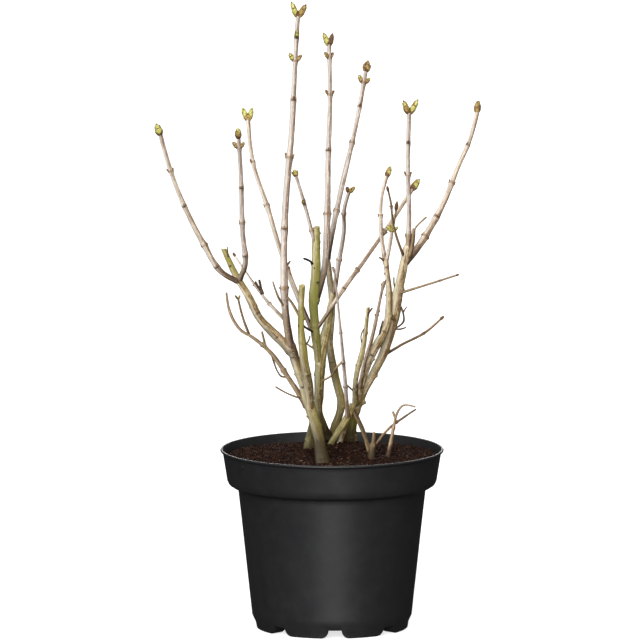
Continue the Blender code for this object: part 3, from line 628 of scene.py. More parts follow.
def scatterSoil():
    look = soilLook
    chance = Random(look["seed"])
    reach = collarInside(look["edgeHeight"]) - 3.5

    def somewhere(x=0.0, y=0.0, spread=reach):
        while True:
            at = Vector((x + chance.uniform(-spread, spread), y + chance.uniform(-spread, spread), 0))
            if at.length < reach:
                at.z = soilTop(at.x, at.y)
                return at

    def turned(tilt):
        lean = Matrix.Rotation(chance.uniform(-tilt, tilt), 3, "X")
        spins = [Matrix.Rotation(chance.uniform(0, 2 * pi), 3, "Z") for _ in range(2)]
        return spins[0] @ lean @ spins[1]

    spots = []
    for _ in range(look["crumbs"]):
        size = look["crumbSize"][0] + (look["crumbSize"][1] - look["crumbSize"][0]) * chance.random() ** 2.5
        shape = Matrix.Diagonal((size, size * chance.uniform(0.6, 1.0), size * chance.uniform(0.45, 0.8)))
        place = somewhere()
        place.z += size * 0.15
        spots.append((chance.randrange(look["crumbKinds"]), turned(0.6) @ shape, place))
    for x, y, radius in look["feet"]:
        for _ in range(look["heap"]):
            size = chance.uniform(0.8, 1.7)
            shape = Matrix.Diagonal((size, size * chance.uniform(0.6, 1.0), size * chance.uniform(0.5, 0.8)))
            angle, off = chance.uniform(0, 2 * pi), 3.5 * chance.random() ** 1.6
            place = Vector((x + (radius + off) * cos(angle), y + (radius + off) * sin(angle), 0))
            place.z = soilTop(place.x, place.y) + chance.random() * 0.6 * (3.5 - off)
            spots.append((chance.randrange(look["crumbKinds"]), turned(0.6) @ shape, place))
    crumbs = mottledMaterial("peatCrumb", {
        "colours": ["#0d0603", "#1b0d07", "#30180c", "#4a2a17"], "patch": 5.0, "grain": 0.7,
        "roughness": 0.95, "bump": 0.8, "contrast": 0.8, "gloss": 0.15})
    scatter("peatCrumbs", [crumbShape(i) for i in range(look["crumbKinds"])], spots, crumbs)
    spots = []
    for _ in range(look["fibres"]):
        size = chance.uniform(4, 12)
        flat = turned(0.5) @ Matrix.Rotation(pi / 2, 3, "X") @ Matrix.Diagonal((size, size, size))
        place = somewhere()
        place.z += 0.8
        spots.append((chance.randrange(look["fibreKinds"]), flat, place))
    fibres = mottledMaterial("peatFibre", {
        "colours": ["#241510", "#3f291d", "#5a402e"], "patch": 6.0, "grain": 0.6, "roughness": 0.9,
        "bump": 0.3})
    scatter("peatFibres", [strandShape(i) for i in range(look["fibreKinds"])], spots, fibres)
    spots = []
    for k in range(look["chips"]):
        size = chance.uniform(1.0, 2.8)
        shape = Matrix.Diagonal((size, size * chance.uniform(0.3, 0.6), size * 0.22))
        place = somewhere() if k % 2 else somewhere(-5.0, -52.0, 26.0)
        place.z += 0.9
        spots.append((chance.randrange(look["crumbKinds"]), turned(0.4) @ shape, place))
    chips = mottledMaterial("woodChip", {
        "colours": ["#37231a", "#5a4030", "#80634a"], "patch": 7.0, "grain": 0.5, "roughness": 0.85,
        "bump": 0.4})
    scatter("woodChips", [crumbShape(i + 20) for i in range(look["crumbKinds"])], spots, chips)


makeSoil()
scatterSoil()
print("soil made")


# film is algae and shade is darkening, both as (height, amount): soil stain near the foot and painted shade
# where limbs meet and low among the stems; filmSide is the algae that the right side has as well; knots are
# (height, degrees round from the front, rise, 0 for a flat scar); a course is (x, y, z, radius)
limbs = {
    "front_stem": {
        "bark": "tan", "end": "worn", "filmSide": 0.45,
        "film": [(170, 0.4), (215, 0.4), (262, 0.35), (290, 0.15)],
        "shade": [(170, 1.3), (186, 1), (200, 0.65), (222, 0.3), (240, 0.15), (268, 0.2), (280, 0.6),
                  (290, 0.55)],
        "knots": [(221, -70, 1.6), (249, -20, 0.0), (247, 40, 0.0), (282, -85, 2.0), (284, 10, 0.0),
                  (279, -20, 0.0)],
        "course": [(-8, -49, 168, 7.0), (-11, -47, 188, 5.9), (-18, -40, 215, 5.2),
                   (-27, -36, 246, 4.8), (-36, -34, 273, 4.6), (-41, -33, 290, 4.6)]},
    "front_foot": {
        "bark": "olive", "end": "buried", "filmSide": 0.2,
        "film": [(172, 0.5), (227, 0.45)],
        "shade": [(172, 0.9), (190, 0.3)],
        "knots": [],
        "course": [(-23, 19, 172, 5.4), (-21, 8, 192, 4.4), (-19, -14, 210, 4.0), (-20, -36, 227, 3.6)]},
    "front_stub": {
        "bark": "tan", "end": "cut", "filmSide": 0.5,
        "film": [(223, 0.2), (262, 0.3), (292, 0.5), (318, 0.75), (336, 0.35), (354, 0.5)],
        "shade": [(223, 0.3), (260, 0.45), (300, 0.2)],
        "knots": [(319, 85, 1.8), (312, -60, 0.0), (262, 20, 0.0)],
        "course": [(-21, -37, 223, 3.8), (-24, -44, 252, 4.3), (-29, -45, 287, 4.2),
                   (-31, -45, 328, 3.0), (-30, -45, 354, 3.1)]},
    "left_bough": {
        "bark": "tan", "end": "cut", "filmSide": 0.45,
        "film": [(281, 0.1), (340, 0.15), (362, 0.35), (378, 0.6), (390, 0.5)],
        "shade": [(281, 0.6), (290, 0.35), (304, 0.1)],
        "knots": [(325, 30, 1.2), (310, 70, 1.6), (352, 60, 0.0), (372, -10, 0.0)],
        "course": [(-38, -33, 281, 4.2), (-53, -34, 298, 4.8), (-70, -39, 316, 4.0),
                   (-85, -46, 344, 3.7), (-94, -46, 359, 3.5), (-109, -42, 390, 2.5)]},
    "back_stem": {
        "bark": "cream", "end": "worn", "filmSide": 0.2,
        "film": [(172, 0.5), (240, 0.55), (262, 0.4), (276, 0.15), (366, 0.1)],
        "shade": [(172, 0.9), (200, 0.45), (235, 0.25), (252, 0.55), (268, 0.45), (278, 0.15),
                  (366, 0.1)],
        "knots": [(262, 0, 0.0), (216, 60, 0.8), (286, 60, 0.0)],
        "course": [(-3, 60, 172, 5.2), (4, 55, 196, 4.1), (9, 50, 214, 4.1), (2, 44, 250, 4.1),
                   (-2, 41, 281, 3.0), (0, 42, 312, 3.1), (-5, 50, 366, 3.0)]},
    "middle_stem": {
        "bark": "olive", "end": "worn", "filmSide": 0.35,
        "film": [(181, 0.2), (250, 0.25), (339, 0.2)],
        "shade": [(181, 1), (200, 0.6), (222, 0.15), (300, 0.15), (339, 0.3)],
        "knots": [(253, -80, 0.9), (230, 20, 0.8), (216, -10, 0.8), (262, 70, 0.0)],
        "course": [(-2, 57, 181, 4.2), (-12, 37, 208, 3.8), (-13, 21, 237, 4.9), (-11, 13, 272, 5.4),
                   (-4, 13, 307, 3.6), (2, 10, 339, 2.8)]},
    "green_stub": {
        "bark": "olive", "end": "cut", "filmSide": 0.4,
        "film": [(264, 0.2), (276, 0.35), (292, 0.6), (330, 0.68), (352, 0.5), (380, 0.42), (407, 0.4)],
        "shade": [(264, 0.1), (407, 0.1)],
        "knots": [(368, -85, 1.2), (331, 88, 2.2), (399, 85, 1.2), (384, 80, 0.0), (350, 40, 0.0)],
        "course": [(-13, 14, 264, 3.4), (-16, 3, 292, 4.4), (-18, -2, 326, 4.9), (-16, -4, 370, 4.1),
                   (-16, -4, 407, 3.8)]},
    "right_stem": {
        "bark": "tan", "end": "worn", "filmSide": 0.3,
        "film": [(173, 0.75), (200, 0.7), (214, 0.25), (378, 0.15)],
        "shade": [(173, 1.1), (186, 0.8), (200, 0.4), (224, 0.2), (378, 0.1)],
        "knots": [(249, 80, 2.2), (222, 80, 3.2), (208, -20, 0.0), (212, 50, 1.0), (337, 75, 1.4),
                  (392, -80, 1.4), (306, -5, 1.4), (311, -70, 0.0), (376, 70, 0.0)],
        "course": [(18, 60, 173, 6.4), (19, 52, 197, 5.4), (28, 45, 224, 4.5), (42, 42, 251, 3.8),
                   (56, 38, 283, 4.7), (63, 38, 313, 5.1), (67, 38, 337, 4.6), (76, 37, 378, 4.3)]},
    "crossing_stem": {
        "bark": "olive", "end": "buried", "filmSide": 0.3,
        "film": [(174, 0.6), (219, 0.3)],
        "shade": [(174, 1), (184, 0.5), (195, 0.3), (219, 0.25)],
        "knots": [(205, 10, 0.8)],
        "course": [(-5, 18, 174, 3.4), (3, 20, 189, 2.9), (15, 29, 206, 3.4), (21, 38, 219, 3.2)]},
    "inner_right_bough": {
        "bark": "tan", "end": "worn", "filmSide": 0.2,
        "film": [(219, 0.2), (290, 0.25), (363, 0.1)],
        "shade": [(219, 0.3), (250, 0.1)],
        "knots": [(311, 80, 2.0), (331, -80, 1.2), (272, 0, 0.0), (352, -60, 1.8), (357, -10, 0.0)],
        "course": [(25, 44, 219, 3.8), (31, 31, 247, 3.4), (41, 25, 274, 4.3), (55, 27, 303, 3.9),
                   (57, 32, 328, 3.0), (54, 42, 363, 2.7)]},
    "right_stub_tall": {
        "bark": "olive", "end": "cut", "filmSide": 0.3,
        "film": [(217, 0.2), (322, 0.1)],
        "shade": [(217, 0.4), (250, 0.3), (322, 0.2)],
        "knots": [(262, -70, 0.8), (296, 60, 0.8)],
        "course": [(24, 42, 217, 3.0), (24, 24, 248, 2.7), (31, 15, 279, 2.6), (36, 14, 322, 1.9)]},
    "right_stub_thin": {
        "bark": "rosy", "end": "broken", "filmSide": 0,
        "film": [(234, 0), (348, 0)],
        "shade": [(234, 0.3), (348, 0.35)],
        "knots": [(318, 70, 0.9), (345, -60, 1.4)],
        "course": [(28, 35, 234, 1.9), (32, 20, 261, 1.9), (41, 12, 294, 1.9), (50, 8, 339, 1.4),
                   (52, 8, 347, 2.1)]},
    "prop_foot": {
        "bark": "tan", "end": "buried", "filmSide": 0.1,
        "film": [(175, 0.2), (201, 0.2)],
        "shade": [(175, 0.5), (190, 0.2)],
        "knots": [],
        "course": [(6, 24, 175, 2.4), (11, 34, 190, 2.0), (16, 47, 201, 2.0)]},
    "dead_stump": {
        "bark": "dead", "end": "broken", "filmSide": 0,
        "film": [(170, 0), (200, 0)],
        "shade": [(170, 0.9), (186, 0.6), (200, 0.35)],
        "knots": [(189, 60, 1.6)],
        "course": [(39, -30, 170, 3.4), (40, -29, 186, 3.2), (41, -28, 191, 2.0), (42, -28, 200, 1.7)]},
    "leaning_stem": {
        "bark": "dead", "end": "buried", "filmSide": 0,
        "film": [(181, 0), (212, 0.1)],
        "shade": [(181, 0.5), (212, 0.4)],
        "knots": [(196, 60, 0.8)],
        "course": [(38, -29, 181, 2.2), (30, 2, 200, 2.1), (22, 36, 212, 1.9)]},
}
limbLook = {"sides": 28, "step": 1.0, "flute": 0.24, "ridge": 0.5, "ridgePitch": 0.55, "grain": 0.12,
            "collarRise": 0.22, "collarAt": 5.0, "collarReach": 4.5, "rootRise": 0.12, "rootReach": 9.0,
            "scarPitch": 32.0, "rootedBelow": 177}


def amountAt(stops, height):
    heights, amounts = zip(*stops)
    return float(np.interp(height, heights, amounts))


def limbPaint(plan):
    # algae grows on the right side, which is turned from the sun
    def at(place, radial):
        side = plan["filmSide"] * max(0.0, radial.x * 0.85 + radial.y * 0.35)
        # the shade table darkens by height: soil stain at the foot, and painted shade where limbs meet
        return amountAt(plan["film"], place.z) + side, amountAt(plan["shade"], place.z)
    return at


def limbBumps(course, plan, chance, rooted):
    # the swelling at the foot, knots where twigs have died, and the faint scars of old leaf nodes
    look = limbLook
    radius = course[0][1]
    lengths = courseLengths(course)
    total = lengths[-1]
    bumps = []
    if rooted:
        bumps.append((0.0, None, radius * look["rootRise"], look["rootReach"], 1, 0.0))
    else:
        bumps.append((look["collarAt"], None, radius * look["collarRise"], look["collarReach"], 1, 0.0))
    for height, side, rise in plan["knots"]:
        i = min(range(len(course)), key=lambda k: abs(course[k][0].z - height))
        radius = course[i][1]
        out = Vector((sin(radians(side)), -cos(radians(side)), 0.0))
        if rise:
            bumps.append((lengths[i], out, rise, max(1.3, rise * 0.75), 5, 0.85))
            bumps.append((lengths[i], None, radius * 0.04, radius * 0.5, 1, 0.15))
        else:
            bumps.append((lengths[i], out, radius * 0.12, 1.1, 6, 1.0))
    at = chance.uniform(8, 26)
    turn = chance.uniform(0, pi)
    scars = []
    while at < total - 6:
        place, heading, radius, _ = pointAt(course, at / total)
        bumps.append((at, None, radius * 0.03, radius * 1.1, 1, 0.0))
        for side in (0, pi):
            out = Matrix.Rotation(turn + side, 3, heading) @ across(heading)
            stain = chance.choice((0.0, 0.3, 0.8))
            bumps.append((at, out, radius * chance.uniform(0.06, 0.2), 1.2, 7, stain))
            scars.append((place, heading, out, radius))
        turn += pi / 2
        at += look["scarPitch"] * chance.uniform(0.7, 1.3)
    return bumps, scars


# a cut end as shares of its radius: how wide each ring is and how far it steps out or in
cutRings = {"bark": (0.14, 0.03), "wood": (0.5, -0.04), "pith": (0.12, -0.12)}
# a broken end as shares of its radius: how far past the last place, and how thick
brokenSteps = ((0.5, 0.8), (0.9, 0.45))


def cutTip(bm, course, slant):
    # secateurs: a slanting plane takes the tip off, and the cap shows bark, wood and pith
    tip, radius = course[-1]
    heading = (course[-1][0] - course[-2][0]).normalized()
    normal = (heading + across(heading) * slant[0] + Vector((0, slant[1], 0))).normalized()
    low = tip - heading * radius * (abs(slant[0]) + abs(slant[1]) + 0.15)
    cut = bmesh.ops.bisect_plane(bm, geom=bm.verts[:] + bm.edges[:] + bm.faces[:], clear_outer=True,
                                 plane_co=low, plane_no=normal)
    rim = [part for part in cut["geom_cut"] if isinstance(part, bmesh.types.BMEdge)]
    cap = bmesh.ops.edgeloop_fill(bm, edges=rim)["faces"]
    for ring, (width, step) in cutRings.items():
        bmesh.ops.inset_region(bm, faces=cap, thickness=radius * width, depth=radius * step)
        if ring == "bark":
            for face in cap:
                face.material_index = 1


def brokenTip(course):
    # a snapped end: the last stations narrow to a rough point
    place, radius = course[-1]
    heading = (course[-1][0] - course[-2][0]).normalized()
    return course + [(place + heading * radius * off, radius * thick) for off, thick in brokenSteps]


cutSlants = {"front_stub": (0.1, -0.55), "left_bough": (-0.3, -0.2), "green_stub": (0.25, -0.2),
             "right_stub_tall": (0.3, 0.0)}
scarSpots = []
for number, (name, plan) in enumerate(limbs.items()):
    chance = Random(100 + number)
    course = smoothCourse(plan["course"], limbLook["step"])
    if plan["end"] in ("worn", "broken"):
        course = brokenTip(course)
    rooted = plan["course"][0][2] < limbLook["rootedBelow"]
    bumps, scars = limbBumps(course, plan, chance, rooted)
    scarSpots += scars
    bm = growLimb(course, limbLook["sides"], limbLook, number, bumps, limbPaint(plan),
                  narrowFoot=0.0 if rooted else 3.5)
    if plan["end"] == "cut":
        cutTip(bm, course, cutSlants[name])
    words = name.split("_")
    pieceName = words[0] + "".join(word.title() for word in words[1:]) + "Bark"
    materials = [barkMaterials[plan["bark"]], cutWood]
    finishPiece(bm, pieceName, materials, [name], sharpAngle=50)
print("stems and boughs made")


# ends are the buds at the tip: length, width, lean to the right in degrees, and ripeness from a brown
# bud to a yellow-green one; nodes are leaf nodes: share of the length, turn, and length of their buds;
# twigs are (end buds, course)
shoots = {
    "shoot_tallest": {
        "tint": "pale", "ends": [(17.2, 6.9, -24, 0.8), (15.8, 7.6, 27, 0.5)],
        "course": [(-41, -33, 286, 4.2), (-46, -33, 320, 3.8), (-48, -33, 366, 3.5),
                   (-46, -31, 437, 3.2), (-40, -28, 507, 3.0), (-37, -26, 567, 2.3),
                   (-34, -25, 621, 2.1)],
        "nodes": [(0.188, 0, 2.4), (0.366, 90, 3.0), (0.578, 0, 5.0), (0.751, 90, 4.5), (0.866, 0, 9.2),
                  (0.936, 90, 9.2)],
        "twigs": [([],
                   [(-47, -33, 328, 1.3), (-53, -42, 339, 1.2), (-59, -52, 357, 0.8)])]},
    "shoot_left_far": {
        "tint": "warm", "ends": [(13.2, 9.0, -4, 0.63)],
        "course": [(-92, -46, 356, 2.8), (-108, -51, 365, 2.8), (-129, -57, 398, 2.7),
                   (-154, -64, 452, 2.3), (-171, -70, 508.5, 2.1)],
        "nodes": [(0.17, 90, 1.6), (0.313, 0, 2.6), (0.568, 90, 2.4), (0.78, 0, 4.0)]},
    "shoot_left_high": {
        "tint": "pale", "ends": [(11.8, 8.0, 0, 0.62)],
        "course": [(-93, -46, 357, 2.6), (-87, -54, 373, 2.7), (-89, -66, 407, 2.5),
                   (-91, -87, 476, 2.2), (-93, -97, 509, 2.0)],
        "nodes": [(0.2, 90, 1.6), (0.425, 0, 3.0), (0.665, 90, 2.4), (0.93, 0, 8.5)]},
    "shoot_left_inner": {
        "tint": "warm", "ends": [(15.4, 7.0, -18, 0.95), (14.9, 6.7, 18, 0.9)],
        "course": [(-19, 2, 298, 2.4), (-33, 8, 330, 2.5), (-51, 14, 377, 2.4), (-65, 28, 422, 2.3),
                   (-79, 50, 462, 1.9), (-84, 72, 503, 2.1)],
        "nodes": [(0.3, 0, 2.5), (0.59, 0, 3.0), (0.8, 45, 4.0)]},
    "shoot_centre": {
        "tint": "pale", "ends": [(14.8, 7.0, -19, 0.95), (13.2, 6.6, 16, 0.2)],
        "course": [(-17, -1, 325, 2.7), (-8, 12, 359, 3.3), (-5, 23, 403, 3.2), (-4, 32, 462, 2.8),
                   (-2, 39, 537, 2.1), (-3, 42, 583, 2.0)],
        "nodes": [(0.36, 0, 2.5), (0.6, 90, 3.0), (0.81, 10, 6.0), (0.95, 35, 7.6)]},
    "shoot_back": {
        "tint": "pale", "ends": [(12.5, 7.6, 2, 0.5), (9.0, 5.2, -16, 0.55), (8.5, 5.2, 22, 0.35)],
        "course": [(-5, 50, 362, 2.7), (3, 61, 404, 2.6), (12, 75, 444, 2.6), (23, 91, 489, 2.2),
                   (34, 107, 547.5, 2.0)],
        "nodes": [(0.266, 0, 2.5), (0.626, 20, 3.0), (0.816, 90, 3.5), (0.937, 0, 9.0)]},
    "shoot_short": {
        "tint": "pale", "ends": [(7.5, 4.8, -26, 0.25), (10.5, 5.4, 20, 0.7)],
        "course": [(2, 10, 335, 2.6), (6, 2, 364, 2.3), (12, -22, 407, 2.1), (12, -36, 426, 1.9),
                   (17, -52, 448, 1.7)],
        "nodes": [(0.3, 0, 1.8), (0.76, 10, 2.6)]},
    "shoot_small_left": {
        "tint": "pale", "ends": [(8.5, 4.8, 0, 0.75), (7.0, 3.8, -20, 0.4), (7.0, 3.8, 20, 0.5)],
        "course": [(-16, -4, 383, 1.9), (-27, -14, 428, 1.7), (-36, -21, 459.4, 1.6)],
        "nodes": [(0.25, 0, 2.2), (0.62, 80, 7.0)]},
    "shoot_diagonal": {
        "tint": "warm", "ends": [(15.0, 8.4, 0, 0.75)],
        "course": [(-15, -1, 302, 1.8), (-7, -4, 314, 2.0), (6, -1, 334, 2.1), (30, 28, 363.3, 2.0),
                   (56, 74, 393.9, 1.9), (81, 100, 428.3, 1.9)],
        "nodes": [(0.25, 90, 1.6), (0.39, 0, 2.6), (0.71, 0, 3.6)]},
    "shoot_right_inner": {
        "tint": "warm", "ends": [(13.0, 6.9, 4, 0.68)],
        "course": [(54, 42, 359, 2.2), (49, 60, 397, 1.9), (50, 76, 424, 1.6), (55, 86, 443.5, 1.9)],
        "nodes": [(0.55, 0, 3.0)],
        "twigs": [([(12.0, 5.6, 0, 0.95), (8.5, 4.2, -38, 1), (8.5, 4.2, 38, 1)],
                   [(54, 45, 361, 2.1), (57, 42, 375, 1.9), (59, 40, 387, 1.7), (60, 38, 395, 1.4)])]},
    "shoot_right_high": {
        "tint": "pale", "ends": [(15.7, 7.4, -21, 0.6), (18.0, 7.2, 27, 0.8)],
        "course": [(76, 37, 374, 2.8), (77, 35, 406, 2.4), (76, 28, 468, 2.0), (77, 22, 517, 2.2)],
        "nodes": [(0.12, 10, 2.4), (0.551, 0, 4.8), (0.786, 90, 3.8)]},
    "shoot_right_far": {
        "tint": "warm", "ends": [(13.5, 8.4, -6, 0.4)],
        "course": [(72, 37, 361, 3.0), (79, 41, 369, 3.6), (88, 47, 380, 3.3), (102, 58, 401, 3.0),
                   (113, 69, 421, 2.9), (126, 83, 452, 2.3), (138, 95, 478, 2.0), (146, 106, 506, 2.3)],
        "nodes": [(0.21, 0, 2.6), (0.34, 90, 1.8), (0.56, 0, 3.2), (0.8, 60, 2.6)]},
    "shoot_right_small": {
        "tint": "brown", "ends": [(6.5, 3.4, 0, 0.1)],
        "course": [(72, 36, 369, 1.4), (62, 20, 401, 1.2), (58, 2, 433, 1.0), (56, -3, 442, 1.0)],
        "nodes": [(0.75, 0, 2.4)],
        "twigs": [([(10.6, 4.6, 0, 0.12)],
                   [(62, 19, 404, 0.9), (64, 14, 420, 1.0)])]},
    "shoot_right_stub": {
        "tint": "brown", "ends": [],
        "course": [(77, 36, 368, 1.9), (80.5, 31, 382, 1.9), (82, 24, 399, 1.7)],
        "twigs": [([],
                   [(81.5, 26, 394, 0.9), (84, 23, 401, 0.9), (89, 19.5, 407, 0.8), (94, 16, 412, 1.0)])]},
    "twig_right_upper": {
        "tint": "brown", "ends": [(5.5, 2.6, 0, 0.1)],
        "course": [(67, 37, 332, 1.5), (88, 14, 342, 1.2), (124, -28, 360, 1.0)],
        "nodes": [(0.72, 60, 1.6)]},
    "twig_right_lower": {
        "tint": "brown", "ends": [(6.8, 3.6, 0, 0.3)],
        "course": [(50, 41, 267, 1.6), (70, 56, 277, 1.4), (94, 74, 287, 1.3), (109, 86, 298, 1.0)],
        "nodes": [(0.7, 60, 1.6)]},
    "twig_left_upper": {
        "tint": "warm", "ends": [(6.5, 3.4, 0, 0.3)],
        "course": [(-46, -32, 315, 1.8), (-62, -4, 327, 1.6), (-84, 38, 350, 1.1), (-97, 61, 366, 0.8)],
        "nodes": [(0.3, 0, 2.5), (0.6, 0, 2.4)]},
    "twig_left_lower": {
        "tint": "brown", "ends": [],
        "course": [(-25, -36, 227, 2.6), (-33, -20, 239, 2.7), (-41, -6, 249, 2.5), (-64, 34, 275, 2.0),
                   (-85, 63, 287, 1.6)],
        "nodes": [(0.45, 0, 2.2), (0.8, 0, 2.0)],
        "twigs": [([],
                   [(-83, 60, 286, 1.5), (-92, 70, 290, 1.5), (-101, 76, 303, 1.6), (-106, 84, 325, 1.1)]),
                  ([(6.0, 2.6, -24, 0.1), (5.0, 2.4, 26, 0.7)],
                   [(-83, 61, 286, 1.4), (-91, 56, 310, 1.2), (-94, 54, 324, 1.1)]),
                  ([],
                   [(-30, -26, 235, 1.0), (-44, -38, 242, 0.9), (-56, -46, 250, 0.8)])]},
    "twig_centre": {
        "tint": "pale", "ends": [],
        "course": [(16, 28, 207, 2.2), (12, -8, 263, 1.8), (8, -32, 310, 1.3), (2, -60, 372, 0.8)],
        "nodes": [(0.23, 0, 1.2), (0.395, 60, 1.8), (0.59, 0, 1.6)]},
    "twig_low_right": {
        "tint": "brown", "ends": [],
        "course": [(41, -29, 185, 1.3), (58, -8, 203, 1.2), (72, 7, 211, 1.1), (84, 20, 217, 0.8)],
        "nodes": [(0.6, 0, 1.4)]},
    "twig_low_forked": {
        "tint": "brown", "ends": [],
        "course": [(55, -15, 170, 2.7), (59, -14, 190, 2.0), (62, -12, 206, 1.4), (64, -12, 215, 1.3),
                   (71, -19, 227, 0.9), (83, -28, 227, 0.8)],
        "nodes": [(0.45, 0, 1.4)],
        "twigs": [([],
                   [(64, -12, 211, 1.1), (61, -11, 219, 1.2)])]},
}
shootLook = {"sides": 16, "step": 0.9, "flute": 0.10, "ridge": 0.14, "ridgePitch": 1.0, "grain": 0.06,
             "nodeSwell": 0.2, "nodeReach": 1.7, "nodeBand": (0.7, 0.3), "scarRise": 0.3,
             "collarRise": 0.2, "collarAt": 3.5, "collarReach": 3.0,
             "baseShare": 0.13, "footShadeShare": 0.26, "sideLean": 34,
             "sideSecond": 0.85, "sideAspect": 0.6}
# painted shade at the foot of a shoot, where it leaves its parent
shootFootShade = {                       # how dark the foot of a shoot is, where it isn't 1
    "twig_centre": 0.0, "shoot_small_left": 0.3, "shoot_right_far": 0.6, "shoot_right_high": 0.6,
    "twig_left_upper": 0.4, "twig_low_forked": 3.0}
budLook = {"tops": (0.36, 0.64, 0.86, 0.99), "spread": 100, "flare": 0.04, "keel": 0.03, "step": 0.06,
           "thickness": 0.12, "green": 0.6, "gold": 0.33, "dull": 0.42, "widest": 0.36, "footWidth": 0.62,
           "bluntness": 0.52, "endFit": (0.97, 0.93), "leastLength": 1.4, "ripenLength": 11,
           "sideRipest": 0.62, "outline": (2.1, 0.75), "lap": 5, "sink": 0.03, "margin": 0.3,
           "twist": 0.4, "topChance": (0.92, 1.03), "oldest": 0.6, "newer": (0.92, 0.06),
           "ripeChance": 0.1, "core": (0.7, 0.98)}
budColours = {                                    # fresh scales are waxy, dry ones dull
    "green": (["#a89f40", "#cfca68", "#e9e6a0"], 0.45), "gold": (["#80622f", "#ac8c4c", "#d2bf80"], 0.5),
    "brown": (["#4a301d", "#755337", "#9e7c58"], 0.65)}
budMeshes = {kind: bmesh.new() for kind in budColours}


def eggRadius(share):
    # half width of a bud at a share of its height, for a bud one wide
    widest, foot = budLook["widest"], budLook["footWidth"]
    if share < widest:
        return 0.5 * (foot + (1 - foot) * sin(share / widest * pi / 2))
    return 0.5 * max(0.0, cos((share - widest) / (1 - widest) * pi / 2)) ** budLook["bluntness"]


def budKind(ripe):
    return "green" if ripe > budLook["green"] else "gold" if ripe > budLook["gold"] else "brown"


def addScale(matrix, length, width, layer, span, turn, ripe, cells):
    # one bud scale: a grid bent round the egg, wide at its foot and narrow at its tip
    look = budLook
    low, high = span
    power, bulge = look["outline"]
    bm = bmesh.new()
    grid = bmesh.ops.create_grid(bm, x_segments=cells, y_segments=cells, size=1)["verts"]
    for vert in grid:
        side, up = vert.co.x, (vert.co.y + 1) / 2
        side = (1 - (1 - abs(side)) ** 1.5) * (1 if side > 0 else -1)
        height = low + (high - low) * up
        half = radians(look["spread"]) * (1 - up ** power) ** bulge + radians(look["lap"])
        radius = width * eggRadius(min(height, 0.985)) * (1 - look["step"] * layer)
        keel = look["keel"] * (1 - abs(side)) * (1 - up)
        radius += width * (look["flare"] * up ** 3 + keel - look["sink"])
        angle = turn + side * half
        vert.co = (radius * cos(angle), radius * sin(angle), height * length)
    if cells > 4:
        for face in bm.faces:
            outer = any(edge.is_boundary for edge in face.edges)
            if outer and face.calc_center_median().z > (low + look["margin"] * (high - low)) * length:
                face.material_index = 1
    bmesh.ops.recalc_face_normals(bm, faces=bm.faces)
    bmesh.ops.solidify(bm, geom=bm.faces[:], thickness=look["thickness"])
    bmesh.ops.transform(bm, matrix=matrix, verts=bm.verts)
    joinInto(budMeshes[budKind(ripe)], bm)


def addBud(foot, aim, length, width, ripe, chance, shaded, cells=8):
    # pairs of scales that clasp a core, each pair a quarter turn on and inside the last; the lowest
    # are last year's, so they are the brownest, and so are those that face the shaded way
    look = budLook
    twist = Matrix.Rotation(chance.uniform(-look["twist"], look["twist"]), 4, "Z")
    turned = aim.to_track_quat("Z", "X").to_matrix().to_4x4() @ twist
    matrix = Matrix.Translation(foot) @ turned
    tops = look["tops"] if cells > 4 else (0.6, 0.97)
    newer, step = look["newer"]
    for layer, top in enumerate(tops):
        for side in (0, pi):
            high = min(top * chance.uniform(*look["topChance"]), 1.0)
            turn = side + layer * pi / 2
            facing = (turned.to_3x3() @ Vector((cos(turn), sin(turn), 0))).dot(shaded)
            scaleRipe = ripe * (look["oldest"] if layer == 0 else newer + step * layer)
            scaleRipe += chance.uniform(-look["ripeChance"], look["ripeChance"])
            scaleRipe -= look["dull"] * max(0.0, facing) * ripe
            addScale(matrix, length, width, layer, (0.01 + 0.05 * layer, high), turn, scaleRipe, cells)
    slimness, shortness = look["core"]
    core = bmesh.new()
    bmesh.ops.create_uvsphere(core, u_segments=12 if cells > 4 else 6, v_segments=10 if cells > 4 else 5,
                              radius=0.5)
    for vert in core.verts:
        share = vert.co.z + 0.5
        outward = vert.co.xy.normalized() if vert.co.xy.length > 1e-6 else vert.co.xy
        vert.co.xy = outward * width * eggRadius(min(share, 0.995)) * slimness * min(1.0, 6 * share)
        vert.co.z = share * length * shortness
    bmesh.ops.transform(core, matrix=matrix, verts=core.verts)
    joinInto(budMeshes[budKind(ripe)], core)


def addEndBuds(course, ends, seed):
    tip, radius = course[-1]
    lengthFit, widthFit = budLook["endFit"]          # a little slim, so that their scales have room to flare
    heading = (course[-1][0] - course[-4][0]).normalized()
    for number, (length, width, lean, ripe) in enumerate(ends):
        side = -sin(radians(lean))
        foot = tip - heading * radius * 0.5 + across(heading) * radius * side
        aim = heading * cos(radians(lean)) + across(heading) * side
        shaded = across(heading) * (-1 if side > 0 else 1)       # the side that faces its neighbour
        addBud(foot, aim, length * lengthFit, width * widthFit, ripe, Random(seed * 7 + number), shaded)


